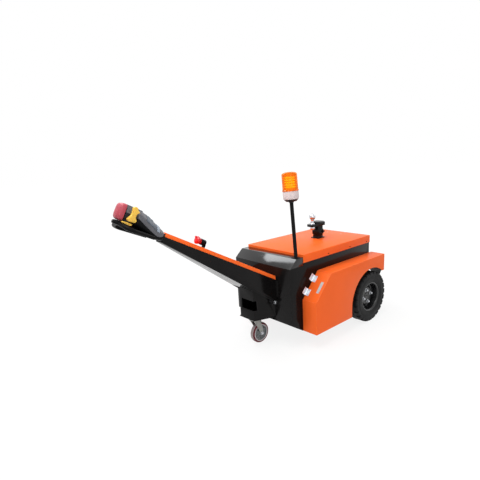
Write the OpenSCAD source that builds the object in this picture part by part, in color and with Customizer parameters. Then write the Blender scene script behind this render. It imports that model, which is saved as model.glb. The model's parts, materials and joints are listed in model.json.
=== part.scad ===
// Walk-behind baggage tug with two driven rear wheels, a castor in front and a tapered tiller.
// Millimetres, +Z up, the tiller points along -Y, and the machine stands on Z = 0.
// Distances called "ahead" and "behind" are measured from the drive axle.

/* [Body] */
// Width over the two side panels
body_w = 555; // [500:1:600]
// Front panel ahead of the drive axle
body_front = 794; // [760:1:840]
// Rear panel behind the drive axle
body_rear = 132; // [110:1:140]
// Depth of the floor pan's underside below the drive axle
floor_drop = 85; // [81:1:95]
// Rise of the floor pan to the front panel's lower edge
floor_rise = 71; // [60:1:80]
// Length of the rising front of the floor pan
floor_ramp = 114; // [90:1:140]
// Thickness of the bent sheets
sheet = 3; // [2:0.5:5]

/* [Top cover and nose] */
// Height of the top cover
cover_top = 657; // [640:1:690]
// Depth of the cover's skirt
cover_skirt = 57; // [40:1:70]
// Front edge of the cover behind the front panel
cover_back = 132; // [120:1:150]
// Gap between the cover's skirt and the side panels
cover_gap = 0.3; // [0.2:0.1:1]
// Step from the cover's top down to the nose's flat top
nose_step = 18; // [10:1:25]
// Depth of the nose
nose_h = 57; // [45:1:65]
// Length of the nose's slanted face along the machine
nose_slant = 66; // [50:1:80]

/* [Side boxes] */
// Width of each side box
box_w = 121; // [112:1:135]
// Height of the side boxes' top face
box_top = 516; // [480:1:540]
// Front face of the side boxes behind the front panel
box_back = 117; // [100:1:130]
// Length of the sloped face along the machine
slope_run = 159; // [140:1:180]
// Height of the sloped face
slope_rise = 170; // [150:1:190]
// Rear face of the side boxes behind the rear panel
box_tail = 30; // [24:1:50]
// Height of the side boxes' tail behind the wheel
tail_h = 131; // [110:1:150]
// Gap between the tyre and the wheel arch
arch_gap = 50; // [40:1:55]
// Centre of the wheel arch, ahead of the drive axle
arch_ahead = 18; // [10:1:25]
// Centre of the wheel arch below the drive axle
arch_drop = 12; // [0:1:20]
// Thickness of the arch liners
liner_t = 2.5; // [2:0.5:4]

/* [Side flaps and hinges] */
// Thickness of the hinged flap on each sloped face
flap_t = 3; // [2:0.5:4]
// Gap round the flap
flap_gap = 2; // [1.5:0.5:3]
// Radius of the flap's lower outer corner
flap_corner_r = 22; // [10:1:40]
// Width of the rim that the flap rests on
flap_rim = 16; // [10:1:25]
// Length of each hinge along the slope
hinge_l = 46; // [35:1:55]
// Width of one hinge leaf
hinge_leaf = 24; // [16:1:30]
// Thickness of the hinge leaves
hinge_t = 2; // [1.5:0.5:3]
// Diameter of the hinge pin
hinge_pin_d = 4; // [3:0.5:5]
// Diameter of the hinge knuckle
hinge_knuckle_d = 8; // [7.5:0.5:10]
// Distance of the lower hinge from the slope's foot
hinge_low = 58; // [40:1:70]
// Distance between the two hinges
hinge_pitch = 108; // [90:1:120]

/* [Drive wheels] */
// Outer diameter of the tyre
tyre_d = 400; // [380:1:410]
// Width of the tyre
tyre_w = 100; // [90:1:105]
// Outer face of the tyre inside the side box's outer face
wheel_inset = 8.5; // [5:0.5:12]
// Diameter where the tyre meets the rim
rim_d = 213; // [200:1:225]
// Wall thickness of the rim
rim_t = 4; // [3:0.5:6]
// Number of tread blocks round each shoulder
lug_count = 24; // [18:1:28]
// Length of the tread blocks, from the shoulder inwards
lug_l = 32; // [24:1:38]
// Height of the tread blocks
lug_h = 9; // [6:1:12]
// Pitch circle of the wheel bolts
wheel_pcd = 100; // [90:1:110]
// Width across the wheel bolts' heads
wheel_bolt_d = 19; // [15:1:24]
// Diameter of the wheel hub's flange
hub_d = 140; // [130:1:160]
// Diameter of the drive shaft's end
shaft_d = 40; // [35:1:50]
// Radial running clearance of the shafts
running_gap = 0.05; // [0.03:0.01:0.1]

/* [Front castor] */
// Diameter of the castor wheel
castor_d = 150; // [140:1:160]
// Width of the castor wheel
castor_w = 36; // [30:1:44]
// Thickness of the castor's tread
castor_tread_t = 12; // [8:1:16]
// Distance of the castor's wheel axle behind its swivel axis
castor_trail = 45; // [35:1:50]
// Castor's swivel axis ahead of the front panel
castor_reach = 90; // [80:1:98]
// Thickness of the castor fork's legs
fork_t = 5; // [4:1:7]
// Diameter of the castor's wheel axle
castor_axle_d = 12; // [10:1:14]
// Diameter of the swivel bearing's housing
swivel_d = 66; // [56:1:76]

/* [Front bracket] */
// Height of the bracket's lower edge
bracket_low_z = 220; // [214:1:230]
// Height of the bracket's upper front edge
bracket_top_z = 440; // [420:1:447]
// Front face of the bracket, ahead of the front panel
bracket_reach = 151; // [145:1:156]
// Half width of the bracket at its front
bracket_half_front = 71; // [64:1:78]
// Half width of the bracket at the front panel
bracket_half_rear = 128; // [120:1:134]
// Thickness of the bracket's plates
bracket_t = 5; // [4:1:8]
// Lower edge of the front pocket
pocket_low_z = 285; // [270:1:300]
// Upper edge of the front pocket
pocket_top_z = 356; // [340:1:370]
// Depth of the pocket's notch along the bracket's side
pocket_notch = 27; // [20:1:35]

/* [Tiller] */
// Slope of the tiller's top plate
tiller_slope = 29.3; // [27:0.1:31]
// Pivot of the tiller ahead of the front panel
pivot_reach = 30.5; // [28:0.5:34]
// Height of the pivot
pivot_z = 340; // [330:1:350]
// Diameter of the pivot shaft
pivot_d = 24; // [20:1:28]
// Rear end of the tiller's top plate ahead of the front panel
tiller_gap = 17; // [16:1:20]
// Height of the top plate's lower edge at its rear end
tiller_rear_z = 497; // [480:1:505]
// Level length of the tiller, from its rear end to the head
tiller_run = 727; // [680:1:780]
// Depth of the tiller where it meets the head
tiller_tip_depth = 44; // [40:1:50]
// Half width of the tiller at its rear end
tiller_half_rear = 157; // [150:1:165]
// Half width of the tiller at the head
tiller_half_tip = 38; // [34:1:44]
// Depth of the top plate's lips
lip_depth = 20; // [14:1:26]

/* [Tiller head] */
// Length from the tiller's end to the butt of the head's hub
hub_l = 262; // [250:1:275]
// Height of the hub
hub_h = 96; // [88:1:104]
// Width of the hub
hub_w = 80; // [74:1:88]
// Chamfer along the hub's edges
hub_chamfer = 24; // [14:1:30]
// Length of the shell between the tiller and the hub
shell_l = 190; // [175:1:200]
// Width of the shell at its shoulders
shell_w = 108; // [98:1:116]
// Height of the shell's shoulders above the tiller's axis
shell_h = 88; // [80:1:94]
// Diameter of the grip ring's bar
grip_d = 24; // [22:1:28]
// Outer reach of the grip ring from the middle
grip_reach = 108; // [100:1:116]
// Front of the grip ring, from the tiller's end
grip_front = 300; // [290:1:310]
// Corner radius of the grip ring's middle line
grip_corner_r = 42; // [36:1:50]
// Inward slant of the ring's side bars, in degrees
grip_splay = 20; // [14:1:24]
// How far the ring's front bars are swept back on each side, in degrees
grip_sweep = 16; // [8:1:20]
// Droop of the ring's two halves, in degrees
grip_droop = 10; // [5:1:14]
// Projection of the red button in front of the hub
button_l = 38; // [30:1:46]
// Width of the red button
button_w = 72; // [60:1:78]
// Height of the red button
button_h = 92; // [84:1:96]
// Width of the keypad
keypad_w = 44; // [36:1:50]
// Length of the keypad
keypad_l = 92; // [70:1:100]
// Radius of the yellow rocker
rocker_r = 38; // [32:1:42]
// Thickness of the yellow rocker
rocker_t = 20; // [14:1:24]

/* [Emergency stop] */
// Distance of the stop button's bracket from the tiller's tip, along the tiller
estop_at = 289; // [270:1:330]
// Diameter of the mushroom button
estop_d = 48; // [40:1:50]
// Height of the stop button's axis above the tiller
estop_rise = 40; // [36:1:46]
// Length of the contact case ahead of the bracket's middle
estop_case = 14; // [8:1:18]

/* [Beacon] */
// Diameter of the pole
pole_d = 25; // [20:1:30]
// Foot of the pole, right of the middle
pole_x = 266; // [250:1:268]
// Length of the pole
pole_l = 372; // [320:1:420]
// Lean of the pole towards the middle, in degrees
pole_lean = 4.2; // [0:0.2:8]
// Diameter of the beacon
beacon_d = 108; // [90:1:110]
// Height of the beacon's black base
beacon_base_h = 14; // [10:1:20]
// Height of the beacon's light collar
beacon_collar_h = 53; // [45:1:60]
// Height of the amber lens
beacon_lens_h = 122; // [110:1:130]
// Number of rings round the lens
lens_ring_count = 9; // [6:1:12]

/* [Hitch] */
// Diameter of the tow ball
ball_d = 50; // [49:0.5:52]
// Height of the ball's centre above the top cover
ball_rise = 175; // [165:1:185]
// Ball's centre, ahead of the drive axle
ball_ahead = 232; // [220:1:245]
// Centre of the hitch post, ahead of the drive axle
post_ahead = 168; // [155:1:175]
// Width of the hitch post's collar
post_w = 74; // [66:1:84]
// Height of the hitch post's foot
post_foot_h = 33; // [26:1:40]
// Height of the hitch post's collar
post_collar_h = 37; // [30:1:44]
// Height of the hitch post's neck
post_neck_h = 31; // [24:1:38]
// Thickness of the hitch tongue
tongue_t = 15; // [12:1:18]
// Width of the hitch tongue
tongue_w = 84; // [76:1:92]
// Height of the cap on the hitch post
cap_h = 32; // [24:1:38]

/* [Hidden] */

$fn = 64;
hull_fn = 24;
past = 1;
seat_gap = 0.3;
axle_z = tyre_d / 2;

// Body
body_half = body_w / 2;
inner_half = body_half - sheet;
panel_y = -body_front;
floor_z = axle_z - floor_drop;
front_low_z = floor_z + floor_rise;
ramp_y = panel_y + floor_ramp;
cover_y = panel_y + cover_back;
cover_half = body_half + cover_gap + sheet;
cover_under = cover_top - sheet;
cover_rear = body_rear + cover_gap + sheet;
nose_top_z = cover_top - nose_step;
nose_low_z = nose_top_z - nose_h;
nose_rear_y = cover_y - seat_gap;
nose_angle = atan2(nose_h, nose_slant);

// Side boxes and their flaps
box_outer = body_half + box_w;
box_y = panel_y + box_back;
box_rear = body_rear + box_tail;
slope_low_z = box_top - slope_rise;
slope_angle = atan2(slope_rise, slope_run);
slope_l = norm([slope_run, slope_rise]);
tail_z = box_top - tail_h;
arch_r = tyre_d / 2 + arch_gap;
arch_z = axle_z - arch_drop;
hinge_axis_x = body_half + hinge_knuckle_d / 2 + seat_gap;
hinge_axis_h = hinge_knuckle_d / 2 + hinge_t / 2;
hinge_places = [hinge_low, hinge_low + hinge_pitch];
knuckle_gap = hinge_t / 4;
flap_end = slope_l - flap_gap;

// Wheels and what drives them
wheel_x = box_outer - wheel_inset - tyre_w / 2;
rim_r = rim_d / 2;
bead_half = tyre_w / 2 - 14;
tyre_sides = 48;
tread_sides = 40;
wheel_face = 8;
hub_back = 48;
hub_boss_d = 60;
stud_d = 12;
nut_h = 12;
wheel_bolt_turn = 13.5;
shaft_seat = 60;
shaft_end_gap = 4;
axle_tube_d = 76;
axle_tube_half = wheel_x - hub_back;
gearcase_d = 150;
gearcase_half = 70;
motor_d = 150;
motor_end = 325;
battery_gap = 25;
battery_w = 460;
battery_h = 260;

// Castor under the bracket
swivel_y = panel_y - castor_reach;
castor_y = swivel_y + castor_trail;
castor_z = castor_d / 2;
castor_core_r = castor_d / 2 - castor_tread_t;
base_lip = 5;
castor_plate_t = 6;
castor_plate_l = 104;
castor_plate_w = 84;
castor_plate_z = bracket_low_z - bracket_t;
swivel_race = 16;
fork_top_z = castor_plate_z - castor_plate_t - swivel_race;
fork_inner = castor_w / 2 + 3;
fork_outer = fork_inner + fork_t;
fork_foot_r = 17;
king_pin_d = 20;
pocket_side = 21;

// Hitch and beacon
post_y = -post_ahead;
foot_w = 60;
neck_w = 60;
tongue_z = cover_top + post_foot_h + post_collar_h + post_neck_h;
ball_z = cover_top + ball_rise;
ball_y = -ball_ahead;
ball_stem_d = 22;
ball_seat_d = 40;
ball_nut_h = 24;
pin_d = 16;
pole_y = panel_y + 88;
foot_t = 4;
foot_plate = [58, 36];
pole_foot_z = nose_top_z + foot_t;
lens_r = beacon_d / 2 - 2;

// Tiller
lip_side = 3;
pivot_y = panel_y - pivot_reach;
pivot_boss_r = 22;
pivot_head_t = 9;
pivot_head_d = 34;
pivot_half = tiller_half_rear + lip_side + seat_gap;
tiller_rear_y = panel_y - tiller_gap;
tiller_tip_y = tiller_rear_y - tiller_run;
tiller_tip_z = tiller_rear_z + tiller_run * tan(tiller_slope);
tiller_end_y = tiller_tip_y - lip_depth;
tiller_taper = (tiller_half_rear - tiller_half_tip) / tiller_run;
tip_low_z = tiller_tip_z - tiller_tip_depth;
under_slope = atan2(tip_low_z - pivot_z, pivot_y - tiller_tip_y);
tray_gap = 21;
tray_floor_rear = panel_y - bracket_reach - tray_gap;

// Head
neck_z = (tip_low_z + tiller_tip_z + lip_depth) / 2;
neck_h = 46;
shoulder_r = 24;
cheek_r = 16;
cheek_z = 14;
neck_rise = 8;
hub_from = shell_l - 30;
roof_run = shell_l - shoulder_r;
roof_rise = shell_h - shoulder_r - neck_h / 2 - neck_rise;
roof_angle = atan2(roof_rise, roof_run) + asin(shoulder_r / norm([roof_run, roof_rise]));
keypad_t = 3;
keypad_at = 38;
ring_drop = 9;
bar_s = grip_front - grip_d / 2;
corner_x = grip_reach - grip_d / 2 - grip_corner_r;
corner_s = bar_s - (grip_corner_r + corner_x * sin(grip_sweep)) / cos(grip_sweep);
ring_root = 72;
wing_t = 15;
wing_ends = [205, 178];
chin_half = 26;
chin_rise = 2;
grip_bar_d = grip_d - 0.6;
button_r = 14;
button_crown = 9;
rocker_at = [212, 57];

// Ends of the machine, so that it can stand centred on its origin
front_end_y = tiller_tip_y - grip_front * cos(tiller_slope) - (ring_drop + grip_d / 2) * sin(tiller_slope);
middle_y = (tyre_d / 2 + front_end_y) / 2;

// Places the machine with the middle of its outline on the origin
module placed() {
    translate([0, -middle_y, 0]) children();
}

// A plate from one place along X to another, drawn in Y and Z
module plate_x(x_from, x_to) {
    translate([x_from, 0, 0]) rotate([90, 0, 90]) linear_extrude(x_to - x_from) children();
}

// Outline in Y and Z, given its depth along X from one side to the other
module along_x(points, x_from, x_to) {
    plate_x(x_from, x_to) polygon(points);
}

// A block from one corner to the other
module block(low, high) {
    translate(low) cube(high - low);
}

// A block that stands on the middle of its underside
module stand(size, chamfer = 0) {
    linear_extrude(size.z) difference() {
        square([size.x, size.y], center = true);
        for (x = [-1, 1], y = [-1, 1]) translate([x * size.x / 2, y * size.y / 2]) rotate(45)
            square(chamfer * sqrt(2), center = true);
    }
}

// A round bar along X
module bar_x(d, x_from, x_to, y, z) {
    translate([x_from, y, z]) rotate([0, 90, 0]) cylinder(d = d, h = x_to - x_from);
}

// The right-hand form and its mirror image
module both_sides() {
    children();
    mirror([1, 0, 0]) children();
}

// Floor and panels of the body

function floor_line(rise) = [
    [panel_y + sheet, front_low_z + rise],
    [ramp_y, floor_z + rise],
    [body_rear - sheet, floor_z + rise]
];

module floor_pan() {
    upper = floor_line(sheet);
    color("#1b1b1c") placed()
        along_x(concat(floor_line(0), [upper[2], upper[1], upper[0]]), -inner_half, inner_half);
}

module side_panels() {
    color("#161617") placed() both_sides() difference() {
        along_x([
            [panel_y, front_low_z],
            [panel_y, nose_low_z],
            [cover_y + sheet + seat_gap, nose_low_z],
            [cover_y + sheet + seat_gap, cover_under],
            [body_rear, cover_under],
            [body_rear, floor_z],
            [ramp_y, floor_z]
        ], inner_half, body_half);
        bar_x(axle_tube_d, inner_half - past, body_half + past, 0, axle_z);
    }
}

module front_panel() {
    color("#161617") placed()
        block([-inner_half, panel_y, front_low_z], [inner_half, panel_y + sheet, nose_low_z]);
}

module rear_panel() {
    color("#161617") placed()
        block([-inner_half, body_rear - sheet, floor_z], [inner_half, body_rear, cover_under]);
}

// Bent black nose in front of the top cover

function nose_outline(inset, open) = [
    [panel_y + inset / sin(nose_angle), nose_low_z - open],
    [panel_y + nose_slant + inset * tan(nose_angle / 2), nose_top_z - inset],
    [nose_rear_y + open, nose_top_z - inset],
    [nose_rear_y + open, nose_low_z - open]
];

module nose() {
    color("#202123") placed() difference() {
        along_x(nose_outline(0, 0), -body_half, body_half);
        along_x(nose_outline(sheet, past), -inner_half, inner_half);
    }
}

module top_cover() {
    skirt_z = cover_top - cover_skirt;
    color("#f0642d") placed() difference() {
        block([-cover_half, cover_y, skirt_z], [cover_half, cover_rear, cover_top]);
        block([-cover_half + sheet, cover_y + sheet, skirt_z - past],
            [cover_half - sheet, cover_rear - sheet, cover_under]);
    }
}

// Side boxes with their wheel arches

function slope_at(y, inset) = slope_low_z + (y - box_y) * tan(slope_angle) - inset / cos(slope_angle);

function box_outline(inset) = [
    [box_y + inset, floor_z + inset],
    [box_y + inset, slope_at(box_y + inset, inset)],
    [box_y + (slope_rise - inset + inset / cos(slope_angle)) / tan(slope_angle), box_top - inset],
    [box_rear - inset, box_top - inset],
    [box_rear - inset, tail_z + inset],
    [-arch_ahead, tail_z + inset],
    [-arch_ahead, floor_z + inset]
];

// The round of the wheel arch with its straight front leg
module arch(r, x_from, x_to) {
    bar_x(2 * r, x_from, x_to, -arch_ahead, arch_z);
    block([x_from, -arch_ahead - r, floor_z - sheet], [x_to, box_rear + sheet, arch_z]);
}

// Moves to the sloped face: Y up the slope, Z out of it
module on_slope() {
    translate([0, box_y, slope_low_z]) rotate([slope_angle, 0, 0]) children();
}

module side_box() {
    difference() {
        along_x(box_outline(0), body_half, box_outer);
        arch(arch_r, body_half - past, box_outer + past);
        difference() {
            along_x(box_outline(sheet), body_half - past, box_outer - sheet);
            arch(arch_r + sheet, body_half - 2 * past, box_outer);
            on_slope()
                block([body_half - 2 * past, -box_w, -flap_t - sheet], [box_outer, slope_l + box_w, box_w]);
        }
        on_slope() {
            block([body_half - past, -box_w, -flap_t], [box_outer + past, slope_l, box_w]);
            block([body_half + flap_rim, flap_rim, -flap_t - 2 * sheet],
                [box_outer - flap_rim, slope_l - flap_rim, 0]);
        }
    }
}

module box_right() {
    color("#ee6430") placed() side_box();
}

module box_left() {
    color("#ee6430") placed() mirror([1, 0, 0]) side_box();
}

module arch_liners() {
    color("#141414") placed() both_sides() difference() {
        intersection() {
            arch(arch_r, body_half, box_outer - sheet);
            along_x([
                [box_y, floor_z], [box_y, box_top], [box_rear, box_top],
                [box_rear, tail_z], [-arch_ahead, tail_z], [-arch_ahead, floor_z]
            ], body_half, box_outer);
        }
        arch(arch_r - liner_t, body_half - past, box_outer + past);
    }
}

// Hinged flaps on the sloped faces

module flap() {
    corner = [box_outer - flap_corner_r, flap_corner_r];
    on_slope() difference() {
        block([hinge_axis_x, 0, -flap_t + seat_gap], [box_outer, flap_end, 0]);
        difference() {
            block([corner.x, -past, -flap_t], [box_outer + past, corner.y, past]);
            translate([corner.x, corner.y, -flap_t - past])
                cylinder(r = flap_corner_r, h = flap_t + 3 * past);
        }
    }
}

module flap_right() {
    color("#f0703a") placed() flap();
}

module flap_left() {
    color("#f0703a") placed() mirror([1, 0, 0]) flap();
}

// A round bar on the hinge's axis, from one place along the slope to another
module hinge_bar(d, y_from, y_to) {
    translate([hinge_axis_x, y_from, hinge_axis_h]) rotate([-90, 0, 0]) cylinder(d = d, h = y_to - y_from);
}

// Fixed leaves on the body's side, each with its pin and outer knuckles
module hinge_frames() {
    third = hinge_l / 3;
    leaf_top = hinge_leaf + hinge_axis_h;
    notch = third / 2 + knuckle_gap;
    color("#d9dde0") placed() both_sides() on_slope() for (at = hinge_places) {
        difference() {
            block([body_half, at - hinge_l / 2, seat_gap], [body_half + hinge_t, at + hinge_l / 2, leaf_top]);
            block([body_half - past, at - notch, seat_gap - past],
                [body_half + hinge_t + past, at + notch, hinge_axis_h + hinge_knuckle_d / 2 + seat_gap]);
        }
        difference() {
            for (side = [-1, 1]) hinge_bar(hinge_knuckle_d, at + side * third - third / 2 + knuckle_gap,
                at + side * third + third / 2 - knuckle_gap);
            block([body_half, at - hinge_l, seat_gap - hinge_knuckle_d],
                [hinge_axis_x + hinge_knuckle_d, at + hinge_l, seat_gap]);
        }
        hinge_bar(hinge_pin_d, at - hinge_l / 2 + hinge_t, at + hinge_l / 2 - hinge_t);
    }
}

// Moving leaves on the flap, each with its middle knuckle
module hinge_leaves() {
    reach = hinge_l / 6 - knuckle_gap;
    clear_x = hinge_axis_x + hinge_knuckle_d / 2 + seat_gap;
    on_slope() for (at = hinge_places) difference() {
        union() {
            hinge_bar(hinge_knuckle_d, at - reach, at + reach);
            block([hinge_axis_x, at - reach, 0], [hinge_axis_x + hinge_knuckle_d, at + reach, hinge_t]);
            block([clear_x, at - hinge_l / 2, 0], [hinge_axis_x + hinge_leaf, at + hinge_l / 2, hinge_t]);
        }
        hinge_bar(hinge_pin_d + 2 * running_gap, at - hinge_l, at + hinge_l);
    }
}

module hinge_leaves_right() {
    color("#d9dde0") placed() hinge_leaves();
}

module hinge_leaves_left() {
    color("#d9dde0") placed() mirror([1, 0, 0]) hinge_leaves();
}

// Front bracket that carries the castor and the tiller, welded to its base plate

function bracket_plan(inset) = [
    [-bracket_half_rear + inset, panel_y],
    [bracket_half_rear - inset, panel_y],
    [bracket_half_front - inset, panel_y - bracket_reach + inset],
    [-bracket_half_front + inset, panel_y - bracket_reach + inset]
];

module bracket() {
    front_y = panel_y - bracket_reach;
    color("#19191a") placed() {
        difference() {
            translate([0, 0, bracket_low_z])
                linear_extrude(bracket_top_z - bracket_low_z) polygon(bracket_plan(0));
            translate([0, 0, bracket_low_z - past]) linear_extrude(bracket_top_z) difference() {
                polygon(bracket_plan(bracket_t));
                translate([-bracket_half_rear, panel_y - bracket_t])
                    square([2 * bracket_half_rear, bracket_t]);
            }
            block([-bracket_half_front + pocket_side, front_y - past, pocket_low_z],
                [bracket_half_rear, front_y + pocket_notch, pocket_top_z]);
            bar_x(pivot_d, -bracket_half_rear - past, bracket_half_rear + past, pivot_y, pivot_z);
        }
        translate([0, 0, castor_plate_z]) linear_extrude(bracket_t) polygon([
            [-bracket_half_rear - base_lip, panel_y],
            [bracket_half_rear + base_lip, panel_y],
            [bracket_half_front + base_lip, front_y - base_lip],
            [-bracket_half_front - base_lip, front_y - base_lip]
        ]);
    }
}

module pivot_shaft() {
    color("#c9cccf") placed() {
        bar_x(pivot_d, -pivot_half, pivot_half, pivot_y, pivot_z);
        both_sides() bar_x(pivot_head_d, pivot_half, pivot_half + pivot_head_t, pivot_y, pivot_z);
    }
}

// Front castor

module castor_plate() {
    king_low_z = fork_top_z - fork_t - 2;
    color("#b9bcbe") placed() translate([0, swivel_y, 0]) {
        translate([0, 0, castor_plate_z - castor_plate_t])
            stand([castor_plate_w, castor_plate_l, castor_plate_t], 8);
        translate([0, 0, fork_top_z + running_gap]) cylinder(d = swivel_d, h = swivel_race);
        translate([0, 0, king_low_z]) cylinder(d = king_pin_d, h = fork_top_z + swivel_race - king_low_z);
    }
}

module castor_fork() {
    heel_y = swivel_y - swivel_d / 3;
    color("#b9bcbe") placed() difference() {
        union() {
            translate([0, swivel_y, fork_top_z - fork_t]) cylinder(d = swivel_d + 8, h = fork_t);
            block([-fork_outer, heel_y, fork_top_z - fork_t], [fork_outer, castor_y, fork_top_z]);
            both_sides() plate_x(fork_inner, fork_outer) {
                polygon([
                    [heel_y, fork_top_z],
                    [heel_y, fork_top_z - fork_foot_r],
                    [castor_y - fork_foot_r, castor_z],
                    [castor_y + fork_foot_r, castor_z],
                    [castor_y, fork_top_z]
                ]);
                translate([castor_y, castor_z]) circle(fork_foot_r);
            }
        }
        bar_x(castor_axle_d, -fork_outer - past, fork_outer + past, castor_y, castor_z);
        translate([0, swivel_y, fork_top_z - 2 * fork_t])
            cylinder(d = king_pin_d + 2 * running_gap, h = 3 * fork_t);
    }
}

module castor_axle() {
    head_d = castor_axle_d * 1.7;
    color("#d4d6d8") placed() {
        bar_x(castor_axle_d, -fork_outer, fork_outer, castor_y, castor_z);
        both_sides() bar_x(head_d, fork_outer, fork_outer + castor_axle_d / 2, castor_y, castor_z);
    }
}

// Turns half an outline, given in radius and width, and its mirror image about the castor's axle
module castor_turn(half_outline) {
    back = [for (i = [len(half_outline) - 1 : -1 : 0]) [half_outline[i].x, -half_outline[i].y]];
    translate([0, castor_y, castor_z]) rotate([0, 90, 0]) rotate_extrude()
        polygon(concat(half_outline, back));
}

// Many-sided prism about the castor wheel's axle, as wide on both sides of the middle
module tread_band(r, half) {
    translate([0, castor_y, castor_z]) rotate([0, 90, 0]) translate([0, 0, -half])
        linear_extrude(2 * half) polygon([for (i = [0 : tread_sides - 1])
            r * [cos(i * 360 / tread_sides), sin(i * 360 / tread_sides)]]);
}

module castor_tread() {
    bevel = castor_w / 5;
    bore_r = castor_core_r / cos(180 / tread_sides);
    color("#8d2230") placed() difference() {
        hull() {
            tread_band(castor_d / 2 - bevel / 2, castor_w / 2);
            tread_band(castor_d / 2, castor_w / 2 - bevel);
        }
        tread_band(bore_r, castor_w);
    }
}

module castor_core() {
    bore_r = castor_axle_d / 2 + running_gap;
    boss_r = castor_axle_d * 1.3;
    band_r = castor_core_r - castor_tread_t / 2;
    color("#cfd0ce") placed() castor_turn([
        [bore_r, fork_inner - seat_gap], [boss_r, fork_inner - seat_gap], [boss_r, castor_w / 6],
        [band_r, castor_w / 6], [band_r, castor_w / 2], [castor_core_r, castor_w / 2]
    ]);
}

// Drive axle, motor and battery inside the body

// Solid of revolution about the drive axle
module gearcase() {
    neck = gearcase_half * 1.6;
    barrel = gearcase_half * 0.7;
    translate([0, 0, axle_z]) rotate([0, 90, 0]) rotate_extrude() polygon([
        [0, -neck], [axle_tube_d / 2, -neck], [gearcase_d / 2, -barrel],
        [gearcase_d / 2, barrel], [axle_tube_d / 2, neck], [0, neck]
    ]);
}

module drive_axle() {
    color("#2a2b2c") placed() difference() {
        union() {
            bar_x(axle_tube_d, -axle_tube_half, axle_tube_half, 0, axle_z);
            gearcase();
        }
        both_sides()
            bar_x(shaft_d + 2 * running_gap, axle_tube_half - shaft_seat, axle_tube_half + past, 0, axle_z);
    }
}

module drive_motor() {
    color("#3a3b3d") placed() difference() {
        translate([0, 0, axle_z]) rotate([90, 0, 0]) cylinder(d = motor_d, h = motor_end);
        gearcase();
        block([-motor_d, -gearcase_d / 4, axle_z - motor_d], [motor_d, motor_d, axle_z + motor_d]);
    }
}

module battery() {
    battery_l = -ramp_y - motor_end - battery_gap;
    color("#3c3f45") placed()
        translate([-battery_w / 2, ramp_y, floor_z + sheet]) cube([battery_w, battery_l, battery_h]);
}

// Drive wheels: outwards from the machine is up

module at_wheel(side) {
    translate([side * wheel_x, 0, axle_z]) rotate([0, side * 90, 0]) children();
}

// Many-sided ring about the wheel's axle, between two heights
module tyre_band(r, low, high) {
    translate([0, 0, low]) cylinder(r = r, h = high - low, $fn = tyre_sides);
}

// Carcass with a plain middle band and a ring of tread blocks on each shoulder
module tyre() {
    tyre_r = tyre_d / 2;
    half = tyre_w / 2;
    base_r = tyre_r - lug_h;
    wall_r = rim_r + 12;
    difference() {
        union() {
            hull() {
                tyre_band(wall_r, -half + 4, half - 4);
                tyre_band(base_r - 14, -half, half);
                tyre_band(base_r, -half + 6, half - 6);
            }
            tyre_band(tyre_r, lug_l - half, half - lug_l);
            for (side = [0, 1]) mirror([0, 0, side]) translate([0, 0, half - lug_l - past])
                linear_extrude(lug_l) lug_ring(tyre_r - 1, side / 2);
        }
        translate([0, 0, -tyre_w]) cylinder(r = rim_r, h = 2 * tyre_w);
    }
}

// Disc with blocks round it, turned by a share of their pitch
module lug_ring(r, turn) {
    pitch = 360 / lug_count;
    valley_r = r - 2 * lug_h;
    // columns: place in pitches, radius
    corners = [[-0.32, r], [0.32, r], [0.32, valley_r], [0.68, valley_r]];
    polygon([for (i = [0 : lug_count - 1], c = corners)
        c[1] * [cos((i + c[0] + turn) * pitch), sin((i + c[0] + turn) * pitch)]]);
}

module tyre_right() {
    color("#1d1d1e") placed() at_wheel(1) tyre();
}

module tyre_left() {
    color("#1d1d1e") placed() at_wheel(-1) tyre();
}

// Dished rim
module rim() {
    half = tyre_w / 2;
    well = wheel_face - 20;
    hole_r = hub_boss_d / 2 + seat_gap;
    bead_r = rim_r - rim_t;
    difference() {
        rotate_extrude() polygon([
            [hole_r, wheel_face], [hub_d / 2 - 6, wheel_face], [hub_d / 2 + 8, well], [bead_r - 8, well - 5],
            [bead_r, well + 4], [bead_r, half - 16], [rim_r, bead_half], [rim_r, -bead_half],
            [bead_r, -bead_half], [bead_r, well - 2 * rim_t], [bead_r - 10, well - 6 - rim_t],
            [hub_d / 2 + 5, well - rim_t], [hub_d / 2 - 9, wheel_face - rim_t], [hole_r, wheel_face - rim_t]
        ]);
        at_studs() translate([0, 0, -half]) cylinder(d = stud_d + 2 * seat_gap, h = tyre_w);
    }
}

// Moves to each of the four wheel studs
module at_studs() {
    for (i = [0 : 3]) rotate(wheel_bolt_turn + 90 * i) translate([wheel_pcd / 2, 0, 0]) children();
}

// Hub with its shaft end, centre boss, studs and nuts
module hub() {
    flange_low = seat_gap - hub_back;
    translate([0, 0, flange_low]) cylinder(d = hub_d - 24, h = wheel_face - rim_t - flange_low);
    translate([0, 0, shaft_end_gap - shaft_seat - hub_back]) cylinder(d = shaft_d, h = shaft_seat);
    cylinder(d = hub_boss_d, h = wheel_face + nut_h);
    at_studs() {
        cylinder(d = stud_d, h = wheel_face + 1.5 * nut_h);
        translate([0, 0, wheel_face]) cylinder(d = wheel_bolt_d, h = nut_h, $fn = 6);
    }
}

module rim_right() {
    color("#101011") placed() at_wheel(1) rim();
}

module rim_left() {
    color("#101011") placed() at_wheel(-1) rim();
}

module hub_right() {
    color("#c4c6c8") placed() at_wheel(1) hub();
}

module hub_left() {
    color("#c4c6c8") placed() at_wheel(-1) hub();
}

// Hitch on the top cover

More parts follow.
